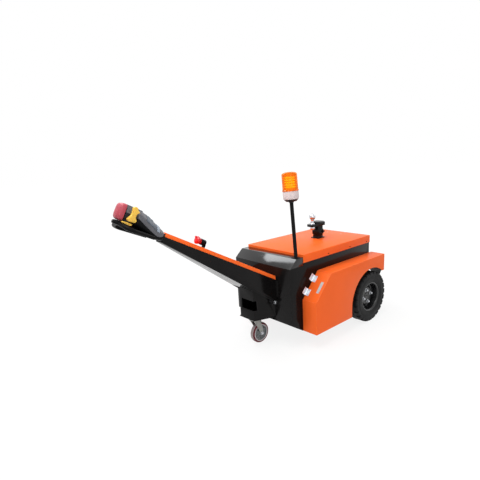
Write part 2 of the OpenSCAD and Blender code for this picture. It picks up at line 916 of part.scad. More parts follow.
// Post in steps, each with its own width, height and chamfer, and a pin through its collar
module hitch_post() {
    // columns: width, height, chamfer
    steps = [
        [foot_w + 16, 6, 2],
        [foot_w, post_foot_h - 6, 6],
        [post_w, post_collar_h, 12],
        [neck_w, post_neck_h, 5]
    ];
    function rise(i) = i == 0 ? 0 : rise(i - 1) + steps[i - 1][1];
    color("#1a1a1b") placed() translate([0, post_y, cover_top]) {
        for (i = [0 : len(steps) - 1])
            translate([0, 0, rise(i)]) stand([steps[i][0], steps[i][0], steps[i][1]], steps[i][2]);
        bar_x(pin_d, -post_w / 2 - 10, post_w / 2 + 14, post_w / 5, post_foot_h + post_collar_h - pin_d);
    }
}

// Tongue with a round end under the ball, and the cap over the post
module hitch_tongue() {
    cap = [tongue_w + 2, post_w + 12];
    color("#1a1a1b") placed() translate([0, 0, tongue_z]) difference() {
        union() {
            translate([0, ball_y, 0]) cylinder(d = tongue_w, h = tongue_t);
            block([-tongue_w / 2, ball_y, 0], [tongue_w / 2, post_y, tongue_t]);
            translate([0, post_y, 0]) hull() {
                stand([cap.x, cap.y, cap_h - 7], 6);
                stand([cap.x - 16, cap.y - 16, cap_h], 6);
            }
        }
        translate([0, ball_y, -past]) cylinder(d = ball_stem_d, h = tongue_t + 2 * past);
    }
}

module tow_ball() {
    top = tongue_z + tongue_t;
    color("#dfe2e5") placed() translate([0, ball_y, 0]) {
        intersection() {
            translate([0, 0, ball_z]) sphere(d = ball_d);
            translate([0, 0, top]) cylinder(d = 2 * ball_d, h = ball_z + ball_d * 0.47 - top);
        }
        translate([0, 0, top]) cylinder(d = ball_seat_d, h = 5);
        translate([0, 0, top])
            cylinder(d1 = ball_seat_d - 4, d2 = ball_d / 2, h = ball_z - ball_d * 0.36 - top);
        translate([0, 0, tongue_z - ball_nut_h - 6])
            cylinder(d = ball_stem_d, h = tongue_t + ball_nut_h + 12);
        translate([0, 0, tongue_z - ball_nut_h]) cylinder(d = ball_seat_d, h = ball_nut_h, $fn = 6);
    }
}

// Beacon on its leaning pole

// Moves to the foot of the pole: Z runs up the pole
module up_pole(along) {
    translate([pole_x - pole_d / 2, pole_y, pole_foot_z]) rotate([0, -pole_lean, 0])
        translate([0, 0, along]) children();
}

module beacon_pole() {
    plate_x = pole_x - pole_d / 2;
    color("#151515") placed() {
        difference() {
            up_pole(-pole_d / 2) cylinder(d = pole_d, h = pole_l + pole_d / 2);
            block([0, pole_y - pole_d, nose_top_z - pole_d], [2 * body_half, pole_y + pole_d, pole_foot_z]);
        }
        block([plate_x - foot_plate.x / 2, pole_y - foot_plate.y / 2, nose_top_z],
            [min(plate_x + foot_plate.x / 2, body_half), pole_y + foot_plate.y / 2, pole_foot_z]);
    }
}

module beacon_base() {
    color("#111112") placed() up_pole(pole_l)
        cylinder(d1 = beacon_d * 0.64, d2 = beacon_d * 0.88, h = beacon_base_h);
}

module beacon_collar() {
    color("#ece6e0") placed() up_pole(pole_l + beacon_base_h) rotate_extrude() polygon([
        [0, 0], [lens_r - 5, 0], [lens_r, 6], [lens_r, beacon_collar_h], [0, beacon_collar_h]
    ]);
}

// Amber lens with a flange, a stack of rings and a low dome
module beacon_lens() {
    flange_h = 8;
    dome_h = 14;
    ring_h = (beacon_lens_h - flange_h - dome_h) / lens_ring_count;
    wall_r = lens_r - 0.5;
    rings = [for (i = [0 : lens_ring_count - 1], edge = [0, 1])
        [wall_r - 2 * edge - i / lens_ring_count, flange_h + (i + edge) * ring_h]];
    foot = [[0, 0], [beacon_d / 2, 0], [beacon_d / 2, flange_h]];
    dome = [[lens_r - 16, beacon_lens_h - 4], [lens_r - 30, beacon_lens_h], [0, beacon_lens_h]];
    color("#f7941d") placed() up_pole(pole_l + beacon_base_h + beacon_collar_h)
        rotate_extrude() polygon(concat(foot, rings, dome));
}

// Tiller: a black tapered tray under an orange top plate

function under_z(y) = pivot_z + (pivot_y - y) * tan(under_slope);
function over_z(y) = tiller_rear_z + (tiller_rear_y - y) * tan(tiller_slope);

// Plan of the tiller, narrowed by an inset on each side
module tiller_plan(inset, y_rear, y_tip) {
    half_rear = tiller_half_tip + (y_rear - tiller_tip_y) * tiller_taper - inset;
    half_tip = tiller_half_tip + (y_tip - tiller_tip_y) * tiller_taper - inset;
    linear_extrude(2 * tiller_tip_z)
        polygon([[-half_rear, y_rear], [half_rear, y_rear], [half_tip, y_tip], [-half_tip, y_tip]]);
}

// A slab right across the tiller: rear and tip places with their heights at each end
module tiller_slab(y_rear, low_rear, high_rear, y_tip, low_tip, high_tip) {
    across = 2 * tiller_half_rear;
    along_x([[y_rear, low_rear], [y_rear, high_rear], [y_tip, high_tip], [y_tip, low_tip]], -across, across);
}

// Everything past the square end of the tiller
module past_neck() {
    in_head() block([-tiller_half_rear, -4 * lip_depth, -4 * neck_h], [tiller_half_rear, 0, 4 * neck_h]);
}

module tiller_tray() {
    across = 2 * tiller_half_rear;
    roof = lip_depth - lip_side;
    boss_y = pivot_y + pivot_boss_r;
    floor_end = tiller_end_y - 2 * past;
    color("#131314") placed() difference() {
        intersection() {
            union() {
                along_x([
                    [tiller_rear_y, over_z(tiller_rear_y) + roof],
                    [tiller_end_y, over_z(tiller_end_y) + roof],
                    [tiller_end_y, under_z(tiller_end_y)],
                    [pivot_y, under_z(pivot_y)],
                    [boss_y, pivot_z]
                ], -across, across);
                bar_x(2 * pivot_boss_r, -across, across, pivot_y, pivot_z);
            }
            tiller_plan(0, boss_y, tiller_end_y);
        }
        difference() {
            tiller_plan(sheet, boss_y + past, tiller_end_y - past);
            tiller_slab(tray_floor_rear, under_z(tray_floor_rear), under_z(tray_floor_rear) + sheet,
                floor_end, under_z(floor_end), under_z(floor_end) + sheet);
        }
        bar_x(pivot_d + 2 * running_gap, -across, across, pivot_y, pivot_z);
        past_neck();
    }
}

module tiller_top() {
    inner_rear = tiller_rear_y + past;
    inner_end = tiller_end_y - past;
    roof = lip_depth - lip_side;
    color("#f06a35") placed() difference() {
        intersection() {
            tiller_slab(tiller_rear_y, over_z(tiller_rear_y), over_z(tiller_rear_y) + lip_depth,
                tiller_end_y, over_z(tiller_end_y), over_z(tiller_end_y) + lip_depth);
            tiller_plan(-lip_side, tiller_rear_y, tiller_end_y);
        }
        intersection() {
            tiller_slab(inner_rear, over_z(inner_rear) - past, over_z(inner_rear) + roof,
                inner_end, over_z(inner_end) - past, over_z(inner_end) + roof);
            tiller_plan(0, inner_rear, inner_end);
        }
        past_neck();
    }
}

// Emergency stop on the tiller's top plate

// Moves to the tiller's top face: -Y runs up to the head, Z out of the plate
module on_tiller(along) {
    translate([0, tiller_tip_y, tiller_tip_z + lip_depth]) rotate([-tiller_slope, 0, 0])
        translate([0, along, 0]) children();
}

// Moves to the stop button's axis, above its foot: Z runs towards the head
module at_estop() {
    on_tiller(estop_at) translate([0, 0, estop_rise]) rotate([90, 0, 0]) children();
}

// Angle plate with a round contact case through it
module estop_bracket() {
    plate_half = 17;
    plate_back = 22;
    color("#1c1c1d") placed() {
        on_tiller(estop_at) {
            block([-plate_half, -14, 0], [plate_half, plate_back, sheet]);
            block([-plate_half, plate_back - sheet, 0], [plate_half, plate_back, estop_rise]);
        }
        at_estop() translate([0, 0, -plate_back]) cylinder(d = 38, h = plate_back + estop_case);
    }
}

module estop_button() {
    stem_h = 10;
    skirt_h = 18;
    color("#d4222c") placed() at_estop() translate([0, 0, estop_case]) {
        cylinder(d = estop_d * 0.65, h = stem_h);
        translate([0, 0, stem_h]) cylinder(d1 = estop_d - 8, d2 = estop_d, h = skirt_h);
        translate([0, 0, stem_h + skirt_h]) cylinder(d1 = estop_d, d2 = estop_d - 20, h = 10);
    }
}

// Tiller head

// Moves to the end of the tiller: -Y runs along the head, Z is up from it
module in_head() {
    translate([0, tiller_tip_y, neck_z]) rotate([-tiller_slope, 0, 0]) children();
}

// Moves to the drooping plane of the right half of the grip ring
module in_ring() {
    translate([0, 0, -ring_drop]) rotate([0, grip_droop, 0]) children();
}

// Rounded wedge from the square neck to the two shoulders and the cheeks below them
module head_shell() {
    hull() {
        block([-tiller_half_tip, -neck_rise, -neck_h / 2], [tiller_half_tip, 0, neck_h / 2 + neck_rise]);
        both_sides() {
            translate([shell_w / 2 - 4 - shoulder_r, shoulder_r - shell_l, shell_h - shoulder_r])
                sphere(shoulder_r, $fn = hull_fn);
            translate([shell_w / 2 - cheek_r, 2 * cheek_r - shell_l, cheek_z]) sphere(cheek_r, $fn = hull_fn);
        }
    }
}

// Barrel with chamfered edges behind the red button
module head_hub() {
    translate([0, -hub_from, 0]) rotate([90, 0, 0]) linear_extrude(hub_l - hub_from)
        translate([0, hub_h / 2]) intersection() {
            square([hub_w, hub_h], center = true);
            rotate(45) square((hub_w + hub_h) / sqrt(2) - hub_chamfer * sqrt(2), center = true);
        }
}

// One half of the ring: half of its swept front bar, its corner and its slanted side bar.
// The straight bars are thinner than the corner by a hair, and start inside it.
module grip_half() {
    bar_l = (corner_x + grip_corner_r * sin(grip_sweep)) / cos(grip_sweep);
    end_s = corner_s - grip_corner_r * sin(grip_splay);
    overlap = grip_d / 4;
    tuck = 3;
    in_ring() {
        translate([0, -bar_s, 0]) rotate(grip_sweep) translate([-overlap, 0, 0]) rotate([0, 90, 0])
            cylinder(d = grip_bar_d, h = bar_l + overlap + tuck);
        translate([corner_x, -corner_s, 0]) {
            rotate(grip_sweep - 90) rotate_extrude(angle = 90 + grip_splay - grip_sweep)
                translate([grip_corner_r, 0]) circle(d = grip_d);
            rotate(grip_splay) translate([grip_corner_r, -tuck, 0]) rotate([-90, 0, 0])
                cylinder(d = grip_bar_d, h = (end_s - ring_root) / cos(grip_splay) + tuck);
        }
    }
}

// Middle line of the ring's side bar
function side_bar_x(s) = corner_x + grip_corner_r * cos(grip_splay)
    - (corner_s - grip_corner_r * sin(grip_splay) - s) * tan(grip_splay);

// Flat wing between the shell and the rear of the ring's half
module wing() {
    in_ring() translate([0, 0, -wing_t / 2]) linear_extrude(wing_t) polygon([
        [0, -ring_root / 2], [side_bar_x(ring_root), -ring_root], [side_bar_x(wing_ends[1]), -wing_ends[1]],
        [hub_w / 2, -wing_ends[0]], [0, -wing_ends[0]]
    ]);
}

module head_housing() {
    color("#1f2022") placed() in_head() difference() {
        union() {
            head_shell();
            head_hub();
            both_sides() {
                grip_half();
                wing();
            }
            block([-chin_half, -grip_front, -ring_drop - grip_d / 2], [chin_half, -hub_from, chin_rise]);
        }
        keypad();
    }
}

// Two-winged yellow rocker, one wing on each side of the hub
module head_rocker() {
    hollow_r = rocker_r * 0.68;
    // columns: along the head, up, radius of the finger tab
    tabs = [[-0.55, 0.78, 9], [-0.62, -0.72, 8]];
    color("#f2b32e") placed() in_head() both_sides() {
        plate_x(hub_w / 2, hub_w / 2 + rocker_t) translate([-rocker_at.x, rocker_at.y]) {
            difference() {
                circle(rocker_r);
                translate([rocker_r * 0.62, -rocker_r * 0.1]) circle(hollow_r);
            }
            for (tab = tabs) translate([-tab[0] * rocker_r, tab[1] * rocker_r]) circle(tab[2]);
        }
        bar_x(rocker_r * 0.7, hub_w / 2, hub_w / 2 + rocker_t * 0.6, -rocker_at.x, rocker_at.y);
    }
}

// Keypad let into the shell's sloped top
module keypad() {
    translate([0, -neck_rise, neck_h / 2 + neck_rise]) rotate([-roof_angle, 0, 0])
        translate([-keypad_w / 2, -keypad_at - keypad_l, -keypad_t])
            cube([keypad_w, keypad_l, keypad_t + past]);
}

module head_keypad() {
    color("#8f979c") placed() in_head() keypad();
}

// Cushion-shaped button on the hub's butt
module belly_button() {
    color("#c8404e") placed() in_head() translate([0, -hub_l, hub_h / 2 + 2]) hull() {
        block([-button_w / 2, -3, -button_h / 2], [button_w / 2, 0, button_h / 2]);
        for (x = [-1, 0, 1], z = [-1, 1])
            translate([x * (button_w / 2 - button_r), button_r - button_l + abs(x) * button_crown,
                z * (button_h / 2 - button_r)]) sphere(button_r, $fn = hull_fn);
    }
}

floor_pan();
side_panels();
front_panel();
rear_panel();
nose();
top_cover();
box_right();
box_left();
arch_liners();
flap_right();
flap_left();
hinge_frames();
hinge_leaves_right();
hinge_leaves_left();
bracket();
castor_plate();
castor_fork();
castor_axle();
castor_tread();
castor_core();
drive_axle();
drive_motor();
battery();
tyre_right();
tyre_left();
rim_right();
rim_left();
hub_right();
hub_left();
hitch_post();
hitch_tongue();
tow_ball();
beacon_pole();
beacon_base();
beacon_collar();
beacon_lens();
pivot_shaft();
tiller_tray();
tiller_top();
estop_bracket();
estop_button();
head_housing();
head_rocker();
head_keypad();
belly_button();
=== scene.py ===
import json
import math
import bmesh
import bpy
from mathutils import Matrix, Vector


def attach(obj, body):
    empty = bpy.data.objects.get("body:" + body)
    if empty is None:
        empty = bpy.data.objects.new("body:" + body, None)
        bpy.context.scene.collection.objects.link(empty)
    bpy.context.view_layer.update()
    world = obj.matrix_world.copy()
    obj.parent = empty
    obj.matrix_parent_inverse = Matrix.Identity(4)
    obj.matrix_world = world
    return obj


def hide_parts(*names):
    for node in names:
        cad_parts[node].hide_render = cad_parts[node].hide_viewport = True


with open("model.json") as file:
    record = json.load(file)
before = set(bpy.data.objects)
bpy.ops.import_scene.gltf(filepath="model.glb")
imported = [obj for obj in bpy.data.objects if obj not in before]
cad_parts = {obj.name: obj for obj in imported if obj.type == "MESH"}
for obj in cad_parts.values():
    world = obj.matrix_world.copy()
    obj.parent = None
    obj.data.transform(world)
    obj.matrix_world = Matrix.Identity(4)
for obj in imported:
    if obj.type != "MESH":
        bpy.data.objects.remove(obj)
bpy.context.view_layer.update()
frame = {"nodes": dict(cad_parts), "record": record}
cadNodes = frame["nodes"]
print("frame loaded,", len(cadNodes), "nodes")

# place of the drive axle along the frame's y, in metres
axleShift = 0.804949
sides = ((1, "right"), (-1, "left"))
mirrorX = Matrix.Scale(-1, 4, (1, 0, 0))


# From the drawing's millimetres, whose y starts at the drive axle, to the frame's metres
def spot(x, y, z):
    return Vector((x / 1000, y / 1000 + axleShift, z / 1000))


def turn(degrees, axis):
    return Matrix.Rotation(math.radians(degrees), 4, axis)


def move(x, y, z):
    return Matrix.Translation((x / 1000, y / 1000, z / 1000))


def at(x, y, z):
    return Matrix.Translation(spot(x, y, z))


def onCircle(x, y, radius, angle):
    return x + radius * math.cos(angle), y + radius * math.sin(angle)


# Stands a flat outline up: its axes run along y and z, its thickness along x from a start in millimetres
def acrossX(start, y=0.0):
    return Matrix(((0, 0, 1, start / 1000), (1, 0, 0, y), (0, 1, 0, 0), (0, 0, 0, 1)))


def deselectAll():
    if bpy.context.object and bpy.context.object.mode != "OBJECT":
        bpy.ops.object.mode_set(mode="OBJECT")
    bpy.ops.object.select_all(action="DESELECT")


def activate(piece):
    deselectAll()
    piece.select_set(True)
    bpy.context.view_layer.objects.active = piece


def named(name):
    piece = bpy.context.object
    piece.name = name
    piece.data.name = name
    return piece


def place(piece, matrix=None):
    activate(piece)
    if matrix is not None:
        piece.matrix_world = matrix @ piece.matrix_world
    bpy.ops.object.transform_apply(location=True, rotation=True, scale=True)
    return piece


def applyModifiers(piece):
    activate(piece)
    for modifier in list(piece.modifiers):
        bpy.ops.object.modifier_apply(modifier=modifier.name)


def cleanMesh(piece):
    activate(piece)
    bpy.ops.object.mode_set(mode="EDIT")
    bpy.ops.mesh.select_all(action="SELECT")
    bpy.ops.mesh.remove_doubles(threshold=0.00001)
    bpy.ops.mesh.normals_make_consistent(inside=False)
    bpy.ops.object.mode_set(mode="OBJECT")


# Rounds edges sharper than an angle, by a width in millimetres, and then smooths the shading if told how far
def roundEdges(piece, width, segments=3, angle=30, shade=None):
    bevel = piece.modifiers.new("roundedEdges", "BEVEL")
    bevel.width = width / 1000
    bevel.segments = segments
    bevel.limit_method = "ANGLE"
    bevel.angle_limit = math.radians(angle)
    applyModifiers(piece)
    if shade:
        smooth(piece, shade)


def smooth(piece, angle=32):
    activate(piece)
    bpy.ops.object.shade_smooth_by_angle(angle=math.radians(angle))


def subdivide(piece, levels):
    finer = piece.modifiers.new("finer", "SUBSURF")
    finer.levels = finer.render_levels = levels
    applyModifiers(piece)


def join(first, others):
    activate(first)
    for other in others:
        other.select_set(True)
    bpy.ops.object.join()
    return first


def copyPiece(source, name, matrix):
    piece = source.copy()
    piece.data = source.data.copy()
    piece.name = name
    piece.data.name = name
    bpy.context.collection.objects.link(piece)
    piece.data.transform(matrix)
    if matrix.determinant() < 0:
        piece.data.flip_normals()
    return piece


def drop(piece):
    bpy.data.objects.remove(piece)


# Copies of a piece at each place, joined in one, in the piece's stead
def spread(source, name, matrices):
    copies = [copyPiece(source, name, matrix) for matrix in matrices]
    drop(source)
    return join(copies[0], copies[1:])


def withMirror(piece):
    return join(piece, [copyPiece(piece, piece.name, mirrorX)])


def finishPiece(piece, body, finish, replaced=(), seat=None, name=None):
    if seat is not None:
        place(piece, seat)
    if name:
        piece.name = name
    piece.data.materials.clear()
    piece.data.materials.append(finishes[finish])
    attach(piece, body)
    if replaced:
        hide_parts(*replaced)


# Turned about Z: rings of radius and height in millimetres, from the foot round to the top
def turned(name, rings, segments, angle=None, closed=False):
    deselectAll()
    radius, height = rings[0]
    bpy.ops.mesh.primitive_circle_add(vertices=segments, radius=radius / 1000,
                                      fill_type="NOTHING" if closed else "NGON",
                                      location=(0, 0, height / 1000))
    piece = place(named(name))
    bpy.ops.object.mode_set(mode="EDIT")
    bpy.ops.mesh.select_all(action="SELECT")
    for nextRadius, nextHeight in rings[1:]:
        rise = (0, 0, (nextHeight - height) / 1000)
        bpy.ops.mesh.extrude_region_move(TRANSFORM_OT_translate={"value": rise})
        share = nextRadius / radius
        bpy.ops.transform.resize(value=(share, share, 1), center_override=(0, 0, nextHeight / 1000))
        radius, height = nextRadius, nextHeight
    bpy.ops.object.mode_set(mode="OBJECT")
    cleanMesh(piece)
    if angle:
        smooth(piece, angle)
    return piece


# Closed ring from the outline of its upper half
def mirroredRing(name, half, segments, angle):
    rings = half + [(radius, -height) for radius, height in reversed(half)] + [half[0]]
    return turned(name, rings, segments, angle, closed=True)


def oblong(x0, y0, x1, y1):
    return [(x0, y0), (x1, y0), (x1, y1), (x0, y1)]


# Flat outline in millimetres, extruded up along Z
def plate(name, outline, thickness):
    deselectAll()
    bpy.ops.mesh.primitive_circle_add(vertices=len(outline), radius=0.01, fill_type="NGON")
    piece = named(name)
    for vertex, point in zip(piece.data.vertices, outline):
        vertex.co = (point[0] / 1000, point[1] / 1000, 0)
    bpy.ops.object.mode_set(mode="EDIT")
    bpy.ops.mesh.select_all(action="SELECT")
    bpy.ops.mesh.extrude_region_move(TRANSFORM_OT_translate={"value": (0, 0, thickness / 1000)})
    bpy.ops.object.mode_set(mode="OBJECT")
    cleanMesh(piece)
    return piece


# Plate with rounded edges, set in its place
def sheet(name, outline, thickness, edge, seat):
    piece = plate(name, outline, thickness)
    roundEdges(piece, edge, 2, 30, 32)
    return place(piece, seat)


# Skin through closed sections with as many points each, given as places in millimetres
def loft(name, sections, shade=None):
    deselectAll()
    count = len(sections[0])
    bpy.ops.mesh.primitive_circle_add(vertices=count, radius=0.01, fill_type="NGON")
    piece = named(name)
    for vertex, point in zip(piece.data.vertices, sections[0]):
        vertex.co = Vector(point) / 1000
    bpy.ops.object.mode_set(mode="EDIT")
    bpy.ops.mesh.select_all(action="SELECT")
    for before, after in zip(sections, sections[1:]):
        bpy.ops.mesh.extrude_region_move(TRANSFORM_OT_translate={"value": (0, 0, 0)})
        mesh = bmesh.from_edit_mesh(piece.data)
        picked = [vertex for vertex in mesh.verts if vertex.select]
        places = [Vector(point) / 1000 for point in before]
        for vertex in picked:
            nearest = min(range(count), key=lambda i: (places[i] - vertex.co).length_squared)
            vertex.co = Vector(after[nearest]) / 1000
        bmesh.update_edit_mesh(piece.data)
    bpy.ops.object.mode_set(mode="OBJECT")
    cleanMesh(piece)
    if shade:
        smooth(piece, shade)
    return piece


# Point of a superellipse: half width, half height and squareness
def squared(angle, half, rise, power):
    return [size * math.copysign(abs(part) ** (2 / power), part)
            for size, part in ((half, math.cos(angle)), (rise, math.sin(angle)))]


# Rounded rectangle section across the head: half width, low and high, at s along the head
def headSection(s, half, low, high, power, count=32):
    angles = [2 * math.pi * (i + 0.5) / count for i in range(count)]
    corners = [squared(angle, half, (high - low) / 2, power) for angle in angles]
    return [(x, -s, (low + high) / 2 + z) for x, z in corners]


# Round tube along a smooth path in millimetres
def tube(name, points, radius, sides):
    deselectAll()
    bpy.ops.curve.primitive_bezier_curve_add(location=(0, 0, 0))
    piece = named(name)
    line = piece.data.splines[0]
    line.bezier_points.add(len(points) - len(line.bezier_points))
    for knot, point in zip(line.bezier_points, points):
        knot.co = Vector(point) / 1000
        knot.handle_left_type = knot.handle_right_type = "AUTO"
    piece.data.resolution_u = 4
    piece.data.bevel_depth = radius / 1000
    piece.data.bevel_resolution = sides
    piece.data.use_fill_caps = True
    activate(piece)
    bpy.ops.object.convert(target="MESH")
    cleanMesh(piece)
    return piece


# Copy of a drawn solid with its loose triangles merged and its edges rounded
def softCopy(node, width, segments):
    source = cadNodes[node]
    piece = source.copy()
    piece.data = source.data.copy()
    piece.name = "soft_" + node
    piece.data.name = piece.name
    piece.parent = None
    for key in list(piece.keys()):
        del piece[key]
    bpy.context.collection.objects.link(piece)
    activate(piece)
    bpy.ops.object.mode_set(mode="EDIT")
    bpy.ops.mesh.select_all(action="SELECT")
    bpy.ops.mesh.remove_doubles(threshold=0.00002)
    bpy.ops.mesh.dissolve_limited(angle_limit=math.radians(0.6))
    bpy.ops.object.mode_set(mode="OBJECT")
    roundEdges(piece, width, segments, 28, 32)
    return piece


# Socket screw with a rounded head, standing on Z = 0
def socketScrew(radius, height):
    return turned("screw", [(radius, -0.4), (radius, height * 0.35), (radius * 0.9, height * 0.75),
                            (radius * 0.62, height), (radius * 0.46, height), (radius * 0.42, height * 0.45),
                            (0, height * 0.4)], 20, 40)


hexLook = {"inset": 0.09, "rise": 0.12, "edge": 0.02}


# Hexagon head with its chamfered crown, a washer below and the stud's domed end above
def hexHead(name, across, height, washer, dome=0):
    deselectAll()
    bpy.ops.mesh.primitive_cylinder_add(vertices=6, radius=across / math.sqrt(3) / 1000, depth=height / 1000,
                                        location=(0, 0, (washer + height / 2) / 1000))
    head = place(named(name))
    bpy.ops.object.mode_set(mode="EDIT")
    bpy.ops.mesh.select_all(action="DESELECT")
    mesh = bmesh.from_edit_mesh(head.data)
    top = max(vertex.co.z for vertex in mesh.verts)
    for face in mesh.faces:
        face.select = all(abs(vertex.co.z - top) < 1e-6 for vertex in face.verts)
    bmesh.update_edit_mesh(head.data)
    bpy.ops.mesh.inset(thickness=across * hexLook["inset"] / 1000)
    bpy.ops.transform.translate(value=(0, 0, height * hexLook["rise"] / 1000))
    bpy.ops.object.mode_set(mode="OBJECT")
    roundEdges(head, across * hexLook["edge"], 1, 20)
    join(head, [turned("washer", [(across * 0.72, 0), (across * 0.74, washer * 0.3), (across * 0.74, washer * 0.8),
                                  (across * 0.7, washer)], 24)])
    if dome:
        foot = washer + height
        rings = [(across * 0.4, foot - 0.5), (across * 0.4, foot + dome * 0.3), (across * 0.33, foot + dome * 0.7),
                 (across * 0.18, foot + dome * 0.95), (0, foot + dome)]
        join(head, [turned("dome", rings, 20)])
    smooth(head, 35)
    return head


view = {"place": (1.975006, -1.767464, 1.305232), "turn": 48.383, "down": 14.145, "roll": -2.913,
        "lens": 29.483, "shiftX": -0.03727, "shiftY": 0.03305}


def makeCamera():
    data = bpy.data.cameras.new("photoCamera")
    data.lens = view["lens"]
    data.sensor_width = 36
    data.shift_x = view["shiftX"]
    data.shift_y = view["shiftY"]
    camera = bpy.data.objects.new("photoCamera", data)
    bpy.context.scene.collection.objects.link(camera)
    camera.matrix_world = (Matrix.Translation(view["place"]) @ turn(view["turn"], "Z")
                           @ turn(90 - view["down"], "X") @ turn(view["roll"], "Z"))
    bpy.context.scene.camera = camera


def addNode(tree, kind, **values):
    node = tree.nodes.new("ShaderNode" + kind)
    for key, value in values.items():
        if hasattr(node, key):
            setattr(node, key, value)
        else:
            node.inputs[key].default_value = value
    return node


def wire(tree, *links):
    for start, end in links:
        tree.links.new(start, end)


# Puts a number on a socket, or links it
def feed(tree, socket, value):
    if isinstance(value, (int, float)):
        socket.default_value = value
    else:
        tree.links.new(value, socket)


def ranged(tree, source, low, high, newLow, newHigh, kind="LINEAR"):
    node = addNode(tree, "MapRange", interpolation_type=kind)
    for socket, value in (("Value", source), ("From Min", low), ("From Max", high), ("To Min", newLow),
                          ("To Max", newHigh)):
        feed(tree, node.inputs[socket], value)
    return node.outputs["Result"]


def combine(tree, operation, first, second):
    node = addNode(tree, "Math", operation=operation)
    for socket, value in zip(node.inputs, (first, second)):
        feed(tree, socket, value)
    return node.outputs[0]


# Mixes two shaders by a share, as the whole of a tree
def mixShaders(tree, kind, share, first, second):
    output, mix = addNode(tree, kind), addNode(tree, "MixShader")
    wire(tree, (share, mix.inputs[0]), (first.outputs[0], mix.inputs[1]), (second.outputs[0], mix.inputs[2]),
         (mix.outputs[0], output.inputs[0]))


# One for camera rays and those of the named kinds, else nought
def rays(tree, *kinds):
    path = addNode(tree, "LightPath")
    found = path.outputs["Is Camera Ray"]
    for kind in kinds:
        found = combine(tree, "MAXIMUM", found, path.outputs["Is %s Ray" % kind])
    return found


light = {"ambient": 0.37, "aim": (0, 0.1, 0.4),
         # name, place, size, power, colour
         "lamps": [("topLamp", (0.2, -1.5, 4.4), 3.0, 138, (1.0, 0.99, 0.97)),
                   ("keyLamp", (3.4, -1.6, 2.6), 2.6, 40, (1.0, 0.985, 0.96)),
                   ("fillLamp", (-2.25, -0.45, 4.0), 1.6, 66, (0.95, 0.975, 1.0)),
                   ("rearLamp", (0.5, 4.6, 3.4), 3.0, 45, (1, 1, 1))]}


# The camera, mirrors and clear pieces see a white room, and everything else is lit by a plain pale one
def makeLight():
    world = bpy.data.worlds.new("studio")
    bpy.context.scene.world = world
    world.use_nodes = True
    tree = world.node_tree
    tree.nodes.clear()
    plain = addNode(tree, "Background", Color=(1, 1, 1, 1), Strength=light["ambient"])
    white = addNode(tree, "Background", Color=(1, 1, 1, 1), Strength=1.0)
    mixShaders(tree, "OutputWorld", rays(tree, "Glossy", "Transmission"), plain, white)
    for name, where, size, power, colour in light["lamps"]:
        lamp = bpy.data.lights.new(name, "AREA")
        lamp.size = size
        lamp.energy = power
        lamp.color = colour
        holder = bpy.data.objects.new(name, lamp)
        bpy.context.scene.collection.objects.link(holder)
        holder.location = where
        holder.rotation_euler = (Vector(light["aim"]) - Vector(where)).to_track_quat("-Z", "Y").to_euler()
    bpy.context.scene.view_settings.view_transform = "Standard"


floorLook = {"size": 60, "level": -0.0005, "share": 0.80, "bright": 1.05, "near": 1.3, "far": 3.2,
             "tone": (0.86, 0.86, 0.86, 1)}


# Pale floor: mostly plain white to the eye, with a share that takes the object's shadow near it
def makeFloor():
    deselectAll()
    bpy.ops.mesh.primitive_plane_add(size=floorLook["size"], location=(0, 0, floorLook["level"]))
    floor = place(named("paleFloor"))
    finish = bpy.data.materials.new("paleFloor")
    finish.use_nodes = True
    tree = finish.node_tree
    tree.nodes.clear()
    matt = addNode(tree, "BsdfDiffuse", Color=floorLook["tone"])
    bright = addNode(tree, "Emission", Strength=floorLook["bright"])
    reach = addNode(tree, "VectorMath", operation="LENGTH")
    wire(tree, (addNode(tree, "TexCoord").outputs["Object"], reach.inputs[0]))
    fade = ranged(tree, reach.outputs["Value"], floorLook["near"], floorLook["far"], floorLook["share"], 1.0,
                  "SMOOTHSTEP")
    mixShaders(tree, "OutputMaterial", combine(tree, "MULTIPLY", rays(tree, "Glossy"), fade), matt, bright)
    floor.data.materials.append(finish)


makeCamera()
makeLight()
makeFloor()
print("camera, light and floor made")


# Group with its entry and its exit: inputs as name, kind and value, outputs as name and kind
def newGroup(name, inputs, outputs):
    group = bpy.data.node_groups.new(name, "ShaderNodeTree")
    for label, kind, value in inputs:
        socket = group.interface.new_socket(name=label, in_out="INPUT", socket_type="NodeSocket" + kind)
        socket.default_value = value
    for label, kind in outputs:
        group.interface.new_socket(name=label, in_out="OUTPUT", socket_type="NodeSocket" + kind)
    return group, group.nodes.new("NodeGroupInput"), group.nodes.new("NodeGroupOutput")


# Noise at the group's scale, over the object's coordinates or another vector
def addNoise(group, entry, where=None, **values):
    noise = addNode(group, "TexNoise", **values)
    if where is None:
        where = addNode(group, "TexCoord").outputs["Object"]
    wire(group, (where, noise.inputs["Vector"]), (entry.outputs["Scale"], noise.inputs["Scale"]))
    return noise.outputs["Fac"]


# Share of the surface, broken up by patches, as the group's mask
def leaveMask(group, entry, leave, share, patch):
    mask = combine(group, "MULTIPLY", combine(group, "MULTIPLY", share, patch), entry.outputs["Amount"])
    wire(group, (mask, leave.inputs["Mask"]))
    return group


# Slow change of value over the surface, as paint and plastic have
def makeMottle():
    group, entry, leave = newGroup("mottle", [("Colour", "Color", (1, 1, 1, 1)), ("Spread", "Float", 0.05),
                                              ("Scale", "Float", 6.0)], [("Colour", "Color"), ("Tone", "Float")])
    tone = addNoise(group, entry, Detail=4.0, Roughness=0.6)
    less, more = (combine(group, way, 1.0, entry.outputs["Spread"]) for way in ("SUBTRACT", "ADD"))
    shade = addNode(group, "HueSaturation")
    wire(group, (ranged(group, tone, 0.3, 0.7, less, more), shade.inputs["Value"]),
         (entry.outputs["Colour"], shade.inputs["Color"]), (shade.outputs["Color"], leave.inputs["Colour"]),
         (tone, leave.inputs["Tone"]))
    return group


